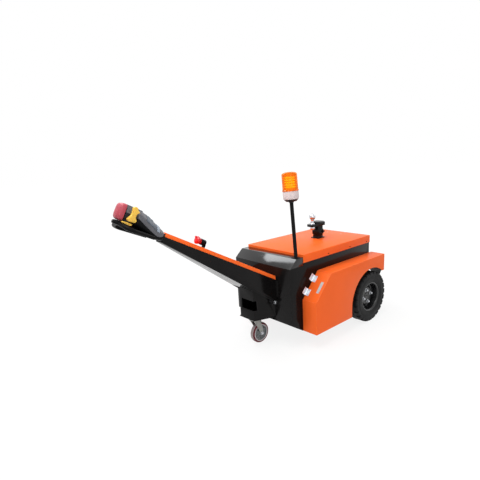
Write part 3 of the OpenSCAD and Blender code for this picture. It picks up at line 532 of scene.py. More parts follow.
# Worn along the edges, broken up by a finer noise
def makeWear():
    group, entry, leave = newGroup("edgeWear", [("Radius", "Float", 0.002), ("Amount", "Float", 0.6),
                                                ("Scale", "Float", 60.0)], [("Mask", "Float")])
    rounded, facing = addNode(group, "Bevel", samples=4), addNode(group, "NewGeometry")
    agree = addNode(group, "VectorMath", operation="DOT_PRODUCT")
    wire(group, (entry.outputs["Radius"], rounded.inputs["Radius"]), (rounded.outputs["Normal"], agree.inputs[0]),
         (facing.outputs["Normal"], agree.inputs[1]))
    edge = ranged(group, agree.outputs["Value"], 0.995, 0.90, 0.0, 1.0)
    patch = ranged(group, addNoise(group, entry, Detail=3.0), 0.42, 0.62, 0.25, 1.0)
    return leaveMask(group, entry, leave, edge, patch)


# Mask on what faces up, broken up by patches: grey dust on most finishes, and painted top light where the colour
# given is a paler tint of the finish itself
def makeDustAndPaintedTopLight():
    group, entry, leave = newGroup("settledDust", [("Amount", "Float", 0.1), ("Scale", "Float", 9.0)],
                                   [("Mask", "Float")])
    facing, axes = addNode(group, "NewGeometry"), addNode(group, "SeparateXYZ")
    wire(group, (facing.outputs["Normal"], axes.inputs[0]))
    upward = ranged(group, axes.outputs["Z"], 0.1, 0.95, 0.15, 1.0)
    patch = ranged(group, addNoise(group, entry, Detail=5.0, Roughness=0.65), 0.4, 0.75, 0.0, 1.0)
    return leaveMask(group, entry, leave, upward, patch)


# Fine grain, drawn out along one axis for brushed metal
def makeGrain():
    group, entry, leave = newGroup("grain", [("Scale", "Float", 400.0), ("Stretch", "Vector", (1, 1, 1))],
                                   [("Height", "Float")])
    drawn = addNode(group, "VectorMath", operation="MULTIPLY")
    wire(group, (addNode(group, "TexCoord").outputs["Object"], drawn.inputs[0]),
         (entry.outputs["Stretch"], drawn.inputs[1]))
    height = addNoise(group, entry, drawn.outputs["Vector"], Detail=2.0, Roughness=0.5)
    wire(group, (height, leave.inputs["Height"]))
    return group


mottle, edgeWear, settledDust, grain = makeMottle(), makeWear(), makeDustAndPaintedTopLight(), makeGrain()


def placeGroup(tree, group, **values):
    node = tree.nodes.new("ShaderNodeGroup")
    node.node_tree = group
    for key, value in values.items():
        node.inputs[key].default_value = value
    return node


def blendColour(tree, mask, first, second):
    node = tree.nodes.new("ShaderNodeMix")
    node.data_type = "RGBA"
    tree.links.new(mask, node.inputs[0])
    tree.links.new(first, node.inputs[6])
    node.inputs[7].default_value = second
    return node.outputs[2]


# A look holds the colour, the roughness and its spread, metal, mottle (spread, scale), grain (scale, depth in
# mm) and its stretch, wear (radius, amount, colour), a mask over upward faces (amount, colour) that is dust on
# most finishes and painted top light on the orange paint and the red button, the shine of a glossy face and
# the shader's own fixed sockets
def makeFinish(name, look):
    finish = bpy.data.materials.new(name)
    finish.use_nodes = True
    tree = finish.node_tree
    shader = tree.nodes["Principled BSDF"]
    shader.inputs["Metallic"].default_value = look.get("metal", 0.0)
    shader.inputs["Specular IOR Level"].default_value = look.get("shine", 0.5)
    for socket, value in look.get("fixed", {}).items():
        shader.inputs[socket].default_value = value
    spread, scale = look["mottle"]
    body = placeGroup(tree, mottle, Colour=(*look["colour"], 1), Spread=spread, Scale=scale)
    colour, step = body.outputs["Colour"], look.get("roughSpread", 0.04)
    rough = ranged(tree, body.outputs["Tone"], 0.3, 0.7, look["rough"] - step, look["rough"] + step)
    if "wear" in look:
        radius, amount, shown = look["wear"]
        worn = placeGroup(tree, edgeWear, Radius=radius, Amount=amount)
        colour = blendColour(tree, worn.outputs["Mask"], colour, (*shown, 1))
    # upward mask: dust, and painted top light on finishes whose colour here is a paler tint of their own
    if "dust" in look:
        amount, shown = look["dust"]
        dustAndTopLightNode = placeGroup(tree, settledDust, Amount=amount)
        colour = blendColour(tree, dustAndTopLightNode.outputs["Mask"], colour, (*shown, 1))
        rough = combine(tree, "ADD", rough, combine(tree, "MULTIPLY", dustAndTopLightNode.outputs["Mask"], 0.5))
    scale, depth = look["grain"]
    fine = placeGroup(tree, grain, Scale=scale, Stretch=look.get("stretch", (1, 1, 1)))
    bump = addNode(tree, "Bump", Strength=0.6, Distance=depth / 1000)
    wire(tree, (colour, shader.inputs["Base Color"]), (rough, shader.inputs["Roughness"]),
         (fine.outputs["Height"], bump.inputs["Height"]), (bump.outputs["Normal"], shader.inputs["Normal"]))
    return finish


looks = {
    # orange paint: its pale orange on upward faces is painted top light, not dust
    "orangePaint": {"colour": (0.96, 0.142, 0.022), "rough": 0.36, "mottle": (0.03, 3.0), "grain": (260, 0.02),
        "wear": (0.0025, 0.55, (0.98, 0.42, 0.18)), "dust": (0.06, (0.98, 0.36, 0.08)), "shine": 0.09},
    "blackPaint": {"colour": (0.005, 0.0045, 0.0046), "rough": 0.16, "mottle": (0.2, 4.0), "grain": (300, 0.012),
        "wear": (0.0022, 0.3, (0.09, 0.09, 0.095)), "dust": (0.07, (0.16, 0.15, 0.14)), "shine": 0.13},
    "nosePaint": {"colour": (0.006, 0.0058, 0.0062), "rough": 0.13, "mottle": (0.2, 4.0), "grain": (300, 0.008),
        "wear": (0.0022, 0.3, (0.12, 0.12, 0.125)), "shine": 0.5},
    "mattBlack": {"colour": (0.008, 0.008, 0.008), "rough": 0.5, "mottle": (0.25, 8.0), "grain": (500, 0.02),
        "dust": (0.1, (0.11, 0.1, 0.09)), "shine": 0.12},
    "zincPlate": {"colour": (0.5, 0.515, 0.54), "rough": 0.36, "roughSpread": 0.1, "metal": 1.0,
        "mottle": (0.14, 40.0), "grain": (350, 0.012), "wear": (0.001, 0.6, (0.8, 0.81, 0.83))},
    "hingeZinc": {"colour": (0.78, 0.84, 0.92), "rough": 0.36, "roughSpread": 0.08, "metal": 0.7,
        "mottle": (0.1, 40.0), "grain": (350, 0.008), "wear": (0.0012, 0.7, (0.95, 0.96, 0.98))},
    "polishedSteel": {"colour": (0.57, 0.58, 0.61), "rough": 0.12, "roughSpread": 0.03, "metal": 1.0,
        "mottle": (0.06, 25.0), "grain": (500, 0.003), "stretch": (1, 1, 6)},
    "castBlack": {"colour": (0.01, 0.01, 0.011), "rough": 0.5, "mottle": (0.3, 12.0), "grain": (220, 0.08),
        "dust": (0.12, (0.12, 0.11, 0.1)), "shine": 0.15},
    "rubber": {"colour": (0.0075, 0.0078, 0.0083), "rough": 0.6, "roughSpread": 0.08, "mottle": (0.22, 10.0),
        "grain": (420, 0.03), "wear": (0.002, 0.35, (0.055, 0.055, 0.057)), "dust": (0.06, (0.09, 0.085, 0.078)),
        "shine": 0.18},
    "rimBlack": {"colour": (0.008, 0.008, 0.009), "rough": 0.22, "mottle": (0.2, 12.0), "grain": (300, 0.01),
        "wear": (0.0012, 0.4, (0.2, 0.2, 0.21)), "shine": 0.5},
    "poleBlack": {"colour": (0.0055, 0.0055, 0.006), "rough": 0.4, "mottle": (0.2, 8.0), "grain": (500, 0.01),
        "shine": 0.06},
    "forkSteel": {"colour": (0.27, 0.27, 0.25), "rough": 0.4, "roughSpread": 0.08, "metal": 1.0,
        "mottle": (0.25, 30.0), "grain": (350, 0.012), "wear": (0.0022, 0.9, (0.7, 0.7, 0.66))},
    "wornTread": {"colour": (0.4, 0.335, 0.335), "rough": 0.55, "mottle": (0.12, 26.0), "grain": (400, 0.03),
        "dust": (0.2, (0.32, 0.28, 0.27)), "shine": 0.3},
    "castorRing": {"colour": (0.6, 0.56, 0.58), "rough": 0.35, "mottle": (0.08, 22.0), "grain": (300, 0.02),
        "shine": 0.4},
    "castorTread": {"colour": (0.115, 0.006, 0.012), "rough": 0.42, "mottle": (0.15, 20.0), "grain": (400, 0.02),
        "dust": (0.2, (0.22, 0.12, 0.1)), "shine": 0.3},
    "castorCore": {"colour": (0.18, 0.195, 0.2), "rough": 0.42, "mottle": (0.1, 22.0), "grain": (300, 0.02),
        "wear": (0.002, 0.7, (0.62, 0.63, 0.65)), "dust": (0.15, (0.3, 0.28, 0.26))},
    "headPlastic": {"colour": (0.0095, 0.0095, 0.011), "rough": 0.3, "mottle": (0.12, 14.0), "grain": (900, 0.004),
        "wear": (0.0015, 0.25, (0.06, 0.06, 0.065)), "shine": 0.2},
    # ten times lighter copy of the head plastic: painted highlight on the upper shell half and the hub's chamfer
    # plates
    "shellPlastic": {"colour": (0.095, 0.095, 0.11), "rough": 0.26, "mottle": (0.08, 14.0), "grain": (900, 0.004),
        "wear": (0.0015, 0.25, (0.14, 0.14, 0.15)), "dust": (0.05, (0.14, 0.14, 0.15)), "shine": 0.5},
    "rockerYellow": {"colour": (0.93, 0.56, 0.085), "rough": 0.36, "mottle": (0.04, 18.0), "grain": (600, 0.003),
        "wear": (0.0012, 0.3, (0.98, 0.75, 0.32)), "shine": 0.3, "fixed": {"Subsurface Weight": 0.08}},
    # red button: its pale pink on upward faces is painted top light, not dust
    "buttonRed": {"colour": (0.43, 0.046, 0.072), "rough": 0.4, "mottle": (0.05, 12.0), "grain": (700, 0.004),
        "wear": (0.003, 0.35, (0.72, 0.22, 0.26)), "dust": (0.22, (0.7, 0.34, 0.37)),
        "fixed": {"Subsurface Weight": 0.06}},
    "stopRed": {"colour": (0.66, 0.01, 0.018), "rough": 0.28, "mottle": (0.05, 20.0), "grain": (600, 0.003)},
    "keypadGrey": {"colour": (0.085, 0.105, 0.135), "rough": 0.3, "mottle": (0.08, 30.0), "grain": (800, 0.004)},
    # three times lighter copy of the keypad grey: painted highlight on the keypad's low key band
    "keyLight": {"colour": (0.27, 0.32, 0.39), "rough": 0.3, "mottle": (0.08, 30.0), "grain": (800, 0.004)},
    "collarWhite": {"colour": (0.68, 0.58, 0.585), "rough": 0.38, "mottle": (0.03, 15.0), "grain": (500, 0.004),
        "dust": (0.1, (0.5, 0.47, 0.44)), "shine": 0.3},
    "labelPlate": {"colour": (0.62, 0.63, 0.64), "rough": 0.3, "metal": 0.35, "mottle": (0.05, 30.0),
        "grain": (900, 0.004), "stretch": (1, 5, 1)},
    "batteryCase": {"colour": (0.05, 0.055, 0.06), "rough": 0.5, "mottle": (0.15, 10.0), "grain": (400, 0.03)},
    "amberLens": {"colour": (0.95, 0.385, 0.004), "rough": 0.1, "roughSpread": 0.02, "mottle": (0.03, 18.0),
        "grain": (300, 0.002), "shine": 0.3, "fixed": {"Transmission Weight": 0.88, "IOR": 1.22}},
    # column and slats inside the beacon glow by emission: painted light standing in for the light that reaches inside
    # the lens
    "amberCore": {"colour": (0.8, 0.42, 0.04), "rough": 0.4, "mottle": (0.04, 18.0), "grain": (300, 0.003),
        "fixed": {"Emission Color": (1.0, 0.55, 0.04, 1), "Emission Strength": 0.3}},
    "amberSlat": {"colour": (0.95, 0.72, 0.12), "rough": 0.3, "mottle": (0.04, 18.0), "grain": (300, 0.003),
        "fixed": {"Emission Color": (1.0, 0.92, 0.16, 1), "Emission Strength": 0.9}},
}
finishes = {name: makeFinish(name, look) for name, look in looks.items()}
print("finishes made,", len(finishes))

slotFinish = {"body_black": "blackPaint", "body_orange": "orangePaint", "liner_black": "mattBlack",
              "zinc": "zincPlate", "bright_steel": "polishedSteel", "cast_black": "castBlack",
              "tyre_black": "rubber", "rim_black": "rimBlack", "castor_red": "castorTread",
              "castor_grey": "castorCore", "handle_black": "headPlastic", "rocker_yellow": "rockerYellow",
              "button_red": "buttonRed", "stop_red": "stopRed", "keypad_grey": "keypadGrey",
              "lens_amber": "amberLens", "collar_light": "collarWhite", "battery_grey": "batteryCase"}
nodeSlot = {part["node"]: part["material_slot"] for part in frame["record"]["subparts"]}
nodeBody = {node: body for body, members in frame["record"]["behaviour"]["bodies"].items() for node in members}
for node, solid in cadNodes.items():
    solid.data.materials.clear()
    solid.data.materials.append(finishes[slotFinish[nodeSlot[node]]])

ownFinish = {"beacon_pole": "poleBlack", "nose": "nosePaint"}
# Folded sheet and machined solids: node, rounding in mm, segments
softened = [("side_panels", 1.2, 2), ("front_panel", 1.0, 2), ("rear_panel", 1.0, 2), ("nose", 1.4, 3),
            ("top_cover", 1.4, 3), ("box_right", 1.2, 3), ("box_left", 1.2, 3),
            ("flap_right", 0.9, 2), ("flap_left", 0.9, 2), ("bracket", 1.3, 2),
            ("castor_plate", 0.8, 2), ("hitch_post", 1.6, 3), ("hitch_tongue", 2.0, 3),
            ("tiller_tray", 1.0, 2), ("tiller_top", 1.0, 2), ("beacon_pole", 0.8, 2)]
for node, width, segments in softened:
    slot = nodeSlot[node]
    finishPiece(softCopy(node, width, segments), nodeBody[node],
                ownFinish.get(node, slotFinish[slot]), (node,))
print("sheet pieces softened")

tyreLook = {"segments": 96, "lugs": 24, "lugHalf": 17.6, "root": 180, "deep": 20, "rootWide": 1.04, "narrowing": 0.09}


def makeTyre():
    tyre = mirroredRing("tyre", [
        (107.2, 34.0), (116.4, 36.5), (117.4, 41.5), (119.2, 44.6), (122.6, 46.0), (125.4, 45.8), (128.0, 46.8),
        (146.0, 49.4), (164.0, 49.8), (166.0, 49.0), (169.0, 49.0), (171.0, 49.6), (180.0, 48.8), (187.0, 46.5),
        (192.0, 42.5), (193.4, 38.0), (193.8, 19.0), (199.2, 18.0), (199.4, 4.0), (195.5, 3.0)],
        tyreLook["segments"], 30)
    outline = [(185, 17.0), (199.6, 17.4), (199.5, 38.0), (197.5, 45.5), (191.0, 49.9), (181.0, 50.2),
               (177.5, 48.2), (184, 43.0)]
    lug = plate("lug", outline, 2 * tyreLook["lugHalf"])
    place(lug, move(0, tyreLook["lugHalf"], 0) @ turn(90, "X"))
    # the block narrows a little from its root to its face
    for vertex in lug.data.vertices:
        rise = (vertex.co.x * 1000 - tyreLook["root"]) / tyreLook["deep"]
        vertex.co.y *= tyreLook["rootWide"] - tyreLook["narrowing"] * max(0, min(1, rise))
    roundEdges(lug, 1.3, 1, 20, 25)
    pitch = 360 / tyreLook["lugs"]
    seats = [turn(i * pitch, "Z") for i in range(tyreLook["lugs"])]
    seats += [turn((i + 0.5) * pitch, "Z") @ Matrix.Scale(-1, 4, (0, 0, 1)) for i in range(tyreLook["lugs"])]
    return join(tyre, [spread(lug, "lug", seats)])


wheelLook = {"x": 340, "z": 200, "studCircle": 50, "studTurn": 13.5, "face": 8, "valve": 88}


def makeRim():
    rings = [(30.5, 8), (58, 8), (66, 6.5), (70, 2), (76, -10), (82, -14.5), (94, -17), (99.5, -13), (102, -6),
             (102.3, 31), (103.8, 37), (107.0, 41.0), (111.5, 43.2), (115.4, 43.0), (117.0, 41.2), (116.4, 39.0),
             (110.5, 37.0), (106.4, 33), (106.4, -33), (110.5, -37.0), (116.4, -39.0), (117.0, -41.2),
             (115.4, -43.0), (111.5, -43.2), (107.0, -41.0), (103.8, -37), (102.3, -28), (98.5, -22), (94, -21.2),
             (80, -18.5), (72, -13), (66.5, -1.5), (63.5, 2.8), (57, 4), (30.5, 4), (30.5, 8)]
    valve = turned("valve", [(4.2, -18), (4.2, -8), (3.4, -6), (3.4, 4), (4.4, 5), (4.4, 13), (3.2, 14.5),
                             (0, 14.5)], 16, 32)
    return join(turned("rim", rings, 96, 30, closed=True), [place(valve, move(wheelLook["valve"], 0, 0))])


def makeHub():
    return turned("hub", [(52, -48), (57, -46), (57, 2.5), (55, 3.6), (34, 3.8), (31, 4.2), (29.6, 5.6), (29.2, 9.4),
                          (27.0, 11.6), (23, 12.4), (21.5, 12.4), (20, 11.2), (8, 10.8), (6, 9.8), (0, 9.8)], 64, 28)


def makeNuts():
    studs = [turn(wheelLook["studTurn"] + 90 * i, "Z") @ move(wheelLook["studCircle"], 0, wheelLook["face"])
             for i in range(4)]
    return spread(hexHead("wheelNut", 19, 10.5, 2.4, 7), "wheelNut", studs)


wheelParts = ((makeTyre(), "tyre_tread_", "tyre_black", "rubber", "tyre_"),
              (makeRim(), "rim_dish_", "rim_black", "rimBlack", "rim_"),
              (makeHub(), "hub_boss_", "rim_black", "rimBlack", "hub_"),
              (makeNuts(), "wheel_nuts_", "zinc", "zincPlate", None))
for side, word in sides:
    seat = at(side * wheelLook["x"], 0, wheelLook["z"]) @ turn(side * 90, "Y")
    for source, name, slot, finish, node in wheelParts:
        finishPiece(copyPiece(source, name + word, seat), "wheel_" + word, finish,
                    (node + word,) if node else ())
for part in wheelParts:
    drop(part[0])
print("drive wheels made")

castorLook = {"y": -839, "z": 75, "swivel": -884, "fork": 26, "inner": 21, "top": 193, "legs": 5, "crown": 5,
              "footRadius": 13, "bolts": 209}


def makeFork():
    # outline of a leg: along y and up z, from the crown down to the round foot at the axle
    foot, low, top, radius = (castorLook[key] for key in ("y", "z", "top", "footRadius"))
    outline = [(-905, top), (-905, top - 12), (-876, 132), (foot - radius, low + 2)]
    outline += [onCircle(foot, low, radius, math.radians(degrees)) for degrees in range(195, 361, 15)]
    outline += [(foot + 10, low + 40), (-838, 140), (-840, top)]
    leg = plate("forkLeg", outline, castorLook["legs"])
    place(leg, acrossX(castorLook["inner"], axleShift))
    roundEdges(leg, 1.0, 2)
    under = top - castorLook["crown"]
    crown = plate("forkCrown", oblong(-26, -905, 26, -840), castorLook["crown"])
    place(crown, at(0, 0, under))
    roundEdges(crown, 1.2, 2)
    race = turned("forkRace", [(35.4, top - 5), (37, top - 3.8), (37, top - 1.2), (35.6, top), (0, top)], 48)
    nut = hexHead("kingNut", 24, 9, 1.5)
    place(race, at(0, castorLook["swivel"], 0))
    place(nut, at(0, castorLook["swivel"], under) @ turn(180, "X"))
    fork = join(crown, [withMirror(leg), race, nut])
    smooth(fork, 30)
    finishPiece(fork, "castor", "forkSteel", ("castor_fork",), name="castor_fork_legs")


# Places of a nut or bolt head at both ends of a shaft along Z
def bothEnds(reach):
    return [turn(180 * side, "X") @ move(0, 0, reach) for side in (0, 1)]


def makeCastor():
    tread = mirroredRing("castor_wheel_tread", [(61.5, 17.7), (66.5, 18.0), (70.0, 17.4), (72.6, 15.0),
                                                (73.6, 11.4), (72.4, 11.0)], 72, 40)
    band = turned("castor_running_band", [(72.0, 11.2), (74.2, 10.6), (74.8, 7.0), (74.9, 0), (74.8, -7.0),
                                          (74.2, -10.6), (72.0, -11.2), (72.0, 11.2)], 72, 40, closed=True)
    core = mirroredRing("castor_wheel_core", [
        (7, 20.6), (15.2, 20.6), (15.8, 19.8), (15.8, 15.4), (18, 11.6), (22, 4.4), (27, 3.4), (47, 3.4),
        (50.5, 5.2), (53.5, 14.8), (55, 17.0)], 72, 30)
    rib = plate("rib", [(16, -2), (53, -1.3), (53, 1.3), (16, 2)], 22)
    place(rib, move(0, 0, -11))
    roundEdges(rib, 0.8, 1)
    join(core, [spread(rib, "rib", [turn(60 * i, "Z") for i in range(6)])])
    ring = mirroredRing("castor_rim_ring", [(54.4, 17.0), (55.6, 18.0), (59.6, 18.4), (62.0, 17.4)], 72, 40)
    bar = turned("castor_bolt", [(5.6, -30), (6, -29.4), (6, 29.4), (5.6, 30)], 24, 32)
    join(bar, [spread(hexHead("castorNut", 18, 8, 1.6), "castorNut", bothEnds(castorLook["fork"]))])
    axis = at(0, castorLook["y"], castorLook["z"]) @ turn(90, "Y")
    finishPiece(tread, "castor_wheel", "castorTread", ("castor_tread",), axis)
    finishPiece(band, "castor_wheel", "wornTread", (), axis)
    finishPiece(core, "castor_wheel", "castorCore", ("castor_core",), axis)
    finishPiece(ring, "castor_wheel", "castorRing", (), axis)
    finishPiece(bar, "castor", "zincPlate", ("castor_axle",), axis)
    # four bolts hold the mounting plate under the bracket
    seats = [at(x, castorLook["swivel"] + y, castorLook["bolts"]) @ turn(180, "X")
             for x in (-32, 32) for y in (-42, 42)]
    finishPiece(spread(hexHead("plateBolt", 12, 5.5, 1.4), "plateBolt", seats), "chassis", "zincPlate",
                name="castor_plate_bolts")


makeFork()
makeCastor()
print("castor made")


def blend(first, last, share):
    return first + share * (last - first)


tailLook = {"y": -18, "z": 188, "radius": 246.2, "from": 62, "to": 37, "steps": 14, "inner": 281, "outer": 394,
            "cutFrom": 54, "cutOuter": 352, "sheet": 2}


# Black tail of the arch liner, lapped under the drawn liner and cut off at its outer corner
def makeLinerTail(side, word):
    look = tailLook
    deselectAll()
    bpy.ops.mesh.primitive_grid_add(x_subdivisions=6, y_subdivisions=look["steps"], size=1)
    tail = named("liner_tail_" + word)
    for vertex in tail.data.vertices:
        degrees = blend(look["from"], look["to"], vertex.co.y + 0.5)
        cut = max(0, (look["cutFrom"] - degrees) / (look["cutFrom"] - look["to"]))
        x = blend(look["inner"], blend(look["outer"], look["cutOuter"], cut), vertex.co.x + 0.5)
        vertex.co = spot(side * x, *onCircle(look["y"], look["z"], look["radius"], math.radians(degrees)))
    wall = tail.modifiers.new("wall", "SOLIDIFY")
    wall.thickness = look["sheet"] / 1000
    wall.offset = 0
    applyModifiers(tail)
    cleanMesh(tail)
    smooth(tail, 30)
    finishPiece(tail, "chassis", "mattBlack")


for side, word in sides:
    makeLinerTail(side, word)

poleLook = {"x": 253.5, "y": -706, "z": 643, "lean": -4.2, "length": 372, "baseHeight": 14, "collarHeight": 53,
            "flutes": 24, "fluteDepth": 0.004, "fluteFrom": 11, "fluteTo": 106, "fluteReach": 49, "wall": 3.2,
            "bars": 5, "barFrom": 20, "barPitch": 15.2}


# Shallow upright flutes round the wall
def fluteLens(lens):
    for vertex in lens.data.vertices:
        reach = math.hypot(vertex.co.x, vertex.co.y) * 1000
        if poleLook["fluteFrom"] < vertex.co.z * 1000 < poleLook["fluteTo"] and reach > poleLook["fluteReach"]:
            angle = math.atan2(vertex.co.y, vertex.co.x)
            share = 1 - poleLook["fluteDepth"] * (0.5 - 0.5 * math.cos(poleLook["flutes"] * angle))
            vertex.co.x *= share
            vertex.co.y *= share


def makeBeacon():
    look = poleLook
    baseSeat = at(look["x"], look["y"], look["z"]) @ turn(look["lean"], "Y") @ move(0, 0, look["length"])
    collarSeat = baseSeat @ move(0, 0, look["baseHeight"])
    lensSeat = collarSeat @ move(0, 0, look["collarHeight"])
    base = turned("beacon_foot", [(13, -8), (16.0, -7), (17.0, -1), (33.5, 0.2), (35, 1.5), (41, 7), (46.2, 12.2),
                                  (47.3, 14)], 64, 30)
    finishPiece(base, "chassis", "headPlastic", ("beacon_base",), baseSeat)
    collar = turned("beacon_band", [(44.5, 0), (47, 0.6), (50.2, 3.6), (51.5, 7), (52, 12), (52, 46), (51.4, 47.2),
                                    (50.6, 47.6), (50.6, 49), (51.8, 49.8), (52, 51), (52, 52.8)], 64, 30)
    finishPiece(collar, "chassis", "collarWhite", ("beacon_collar",), collarSeat)
    profile = [(49, 0.2), (53.6, 0.2), (54, 1), (54, 6.6), (53.4, 7.8), (52.0, 8.6), (51.4, 10)]
    profile += [(51.3 - 1.1 * i / 10, 12 + 9.3 * i) for i in range(11)]
    profile += [(49.8, 107.6), (48.2, 111.0), (45.2, 113.6), (37, 117.2), (26, 119.9), (13, 121.5), (0, 122)]
    lens = turned("beacon_dome", profile, 144, closed=True)
    fluteLens(lens)
    wall = lens.modifiers.new("wall", "SOLIDIFY")
    wall.thickness = look["wall"] / 1000
    applyModifiers(lens)
    smooth(lens, 50)
    finishPiece(lens, "chassis", "amberLens", ("beacon_lens",), lensSeat)
    # the column and the slats glow by emission: painted light inside the lens, the slats as bright bars
    core = turned("beacon_column", [(30, 4), (30, 12), (24, 16), (24, 98), (20, 104), (0, 106)], 48, 35)
    finishPiece(core, "chassis", "amberCore", (), lensSeat)
    slat = turned("beacon_slats", [(24, 0), (33, 2), (35.5, 4), (35.5, 6.4), (33, 8.4), (24, 10)], 48, 35)
    levels = [move(0, 0, look["barFrom"] + look["barPitch"] * i) for i in range(look["bars"])]
    finishPiece(spread(slat, "beacon_slats", levels), "chassis", "amberSlat", (), lensSeat)


makeBeacon()
print("beacon made")

ballLook = {"y": -232, "z": 832, "radius": 25, "from": -52, "sweep": 122, "steps": 14, "nut": 757.8}


def makeHitch():
    rings = [(10.2, 728.5), (11, 729.5), (11, 772), (20, 773), (20.2, 774), (20.2, 777), (19, 778.2), (15.5, 780),
             (13.2, 784), (12.4, 790), (12.4, 800), (13.2, 806), (15.5, 811.5)]
    for i in range(ballLook["steps"] + 1):
        angle = math.radians(ballLook["from"] + ballLook["sweep"] * i / ballLook["steps"])
        rings.append(onCircle(0, ballLook["z"], ballLook["radius"], angle))
    rings += [(8.4, 855.6), (0, 855.6)]
    where = at(0, ballLook["y"], 0)
    finishPiece(turned("tow_ball_stem", rings, 64, 35), "chassis", "polishedSteel", ("tow_ball",),
                where)
    finishPiece(hexHead("tow_ball_nut", 36, 22, 2), "chassis", "polishedSteel", (),
                where @ move(0, 0, ballLook["nut"]) @ turn(180, "X"))


makeHitch()
print("hitch made")

tillerSlope = -29.3
stopLook = {"at": 289, "rise": 40, "sheet": 3, "edge": 0.8, "leg": -22, "lobeHalf": 7.5, "lobeHigh": 7, "lobeAt": 15}
tillerEdge = {"tip": (3, 41), "rear": (831, 159.6),
              "section": [(-3.6, -1), (-0.4, -1), (-0.4, 4.4), (-1.0, 5.0), (-3.0, 5.0), (-3.6, 4.4)]}
plateTop = at(0, -1538, 924.973) @ turn(tillerSlope, "X")


def makeStop():
    look = stopLook
    seat = plateTop @ move(0, look["at"], look["rise"]) @ turn(90, "X")
    button = turned("stop_mushroom", [
        (15.2, 13.6), (15.6, 15), (15.8, 22), (17.5, 24), (20.2, 26), (21.8, 30), (23.2, 36), (23.9, 40),
        (23.7, 42.6), (21.5, 45.6), (17.4, 48.4), (12.6, 50.4), (6, 51.6), (0, 51.9)], 48, 45)
    # rounded lobe on the upper half of the cap
    angles = [math.radians(15 + 30 * i) for i in range(12)]
    lobe = loft("stop_lobe", [[(look["lobeHalf"] * wide * math.cos(a),
                                look["lobeAt"] + look["lobeHigh"] * wide * math.sin(a), z) for a in angles]
                              for z, wide in ((26, 0.8), (30, 1), (50, 1), (57, 0.9), (60, 0.55))], 45)
    finishPiece(join(button, [lobe]), "tiller", "stopRed", ("estop_button",), seat)
    case = turned("stop_case", [(17.4, -21.6), (18.6, -20.4), (19, -19), (19, 6.2), (18.2, 7), (18.2, 8), (19, 8.8),
                                (19, 12.4), (18, 13.6), (14.4, 13.8), (14.4, 12), (0, 12)], 48, 30)
    place(case, seat)
    leg = sheet("stopLeg", [(-17, -40), (17, -40), (17, -6), (11, 0), (-11, 0), (-17, -6)], look["sheet"],
                look["edge"], seat @ move(0, 0, look["leg"]))
    foot = sheet("stopFoot", oblong(-17, -14, 17, 22), look["sheet"], look["edge"],
                 plateTop @ move(0, look["at"], 0))
    finishPiece(join(case, [leg, foot]), "tiller", "poleBlack", ("estop_bracket",))


# Rolled edge along both sides of the top plate
def makeEdges():
    bead = loft("tillerBead", [[(half + a, y, z) for a, z in tillerEdge["section"]]
                               for y, half in (tillerEdge["tip"], tillerEdge["rear"])])
    roundEdges(bead, 0.9, 2, 30, 32)
    finishPiece(withMirror(bead), "tiller", "orangePaint", (), plateTop, "tiller_edge_beads")


makeStop()
makeEdges()

head = at(0, -1538, 892.973) @ turn(tillerSlope, "X")
headLook = {"hubFrom": 160, "hubTo": 254, "hubHalf": 40, "hubHigh": 96, "hubCut": 24, "hubRun": 24, "hubDrop": 44,
            "cheek": 30, "cheekSheet": 1.2, "gripRadius": 11.2, "gripLevel": -9, "gripLean": 10, "cornerX": 54,
            "cornerS": 207.2, "cornerR": 42, "sweep": 16, "splay": 20, "barS": 266, "footInset": 1.2}


# Section across one half of the shell, above or below its widest level, closed straight across
def shellSection(s, half, low, wide, high, foot, crown, upper, count=28):
    if upper:
        reach, rise, power = half, high - wide, crown
    else:
        reach, rise, power = half - headLook["footInset"], low - wide, foot
    corners = [squared(math.pi * i / count, reach, rise, power) for i in range(count + 1)]
    return [(x, -s, wide + z) for x, z in corners]


# along the head, half width, low, widest level, high, squareness below and above
shellStations = [(2, 31, 0, 15, 31, 2.6, 2.4), (4.5, 35, -7, 12, 34.5, 2.8, 2.3), (9, 38.4, -14, 8, 38.5, 3.0, 2.2),
                 (16, 40.8, -19.5, 3, 42.5, 3.0, 2.15), (27, 42.2, -22.6, -1, 47, 3.2, 2.1),
                 (41, 43.2, -23.2, -4, 52, 3.2, 2.1), (60, 44.8, -20.5, -1, 58, 3.2, 2.1),
                 (84, 46.8, -16.5, 7, 67, 3.2, 2.1), (116, 49.8, -11, 18, 79, 3.2, 2.1),
                 (144, 51.8, -7, 29, 88.5, 3.2, 2.15), (164, 52.4, -4.4, 38, 94, 3.1, 2.2),
                 (178, 51.6, -2.6, 44, 95.5, 3.0, 2.2), (186, 48.0, 0.8, 46, 91, 2.8, 2.2),
                 (190.5, 40.0, 8.0, 45, 82, 2.6, 2.2)]


def makeShellHalf(name, upper):
    half = loft(name, [shellSection(*station, upper) for station in shellStations])
    roundEdges(half, 0.9, 2, 50, 34)
    return half


# Plates on the hub's upper chamfers, from the rocker to the seam, in the lighter shell plastic: a painted highlight
# on these upward faces
def makeHubHighlightPlates():
    run, fall, wide = (headLook[key] for key in ("hubRun", "hubDrop", "cheek"))
    length = math.hypot(run, fall)
    cheek = plate("hubCheek", oblong(2, 0, length - 2, wide), headLook["cheekSheet"])
    roundEdges(cheek, 0.5, 1)
    lean = math.degrees(math.atan2(fall, -run))
    place(cheek, move(headLook["hubHalf"], 1.5 - headLook["hubTo"], headLook["hubHigh"] - fall) @ turn(-lean, "Y")
          @ turn(180, "X") @ move(0, -wide, -0.4))
    return withMirror(cheek)


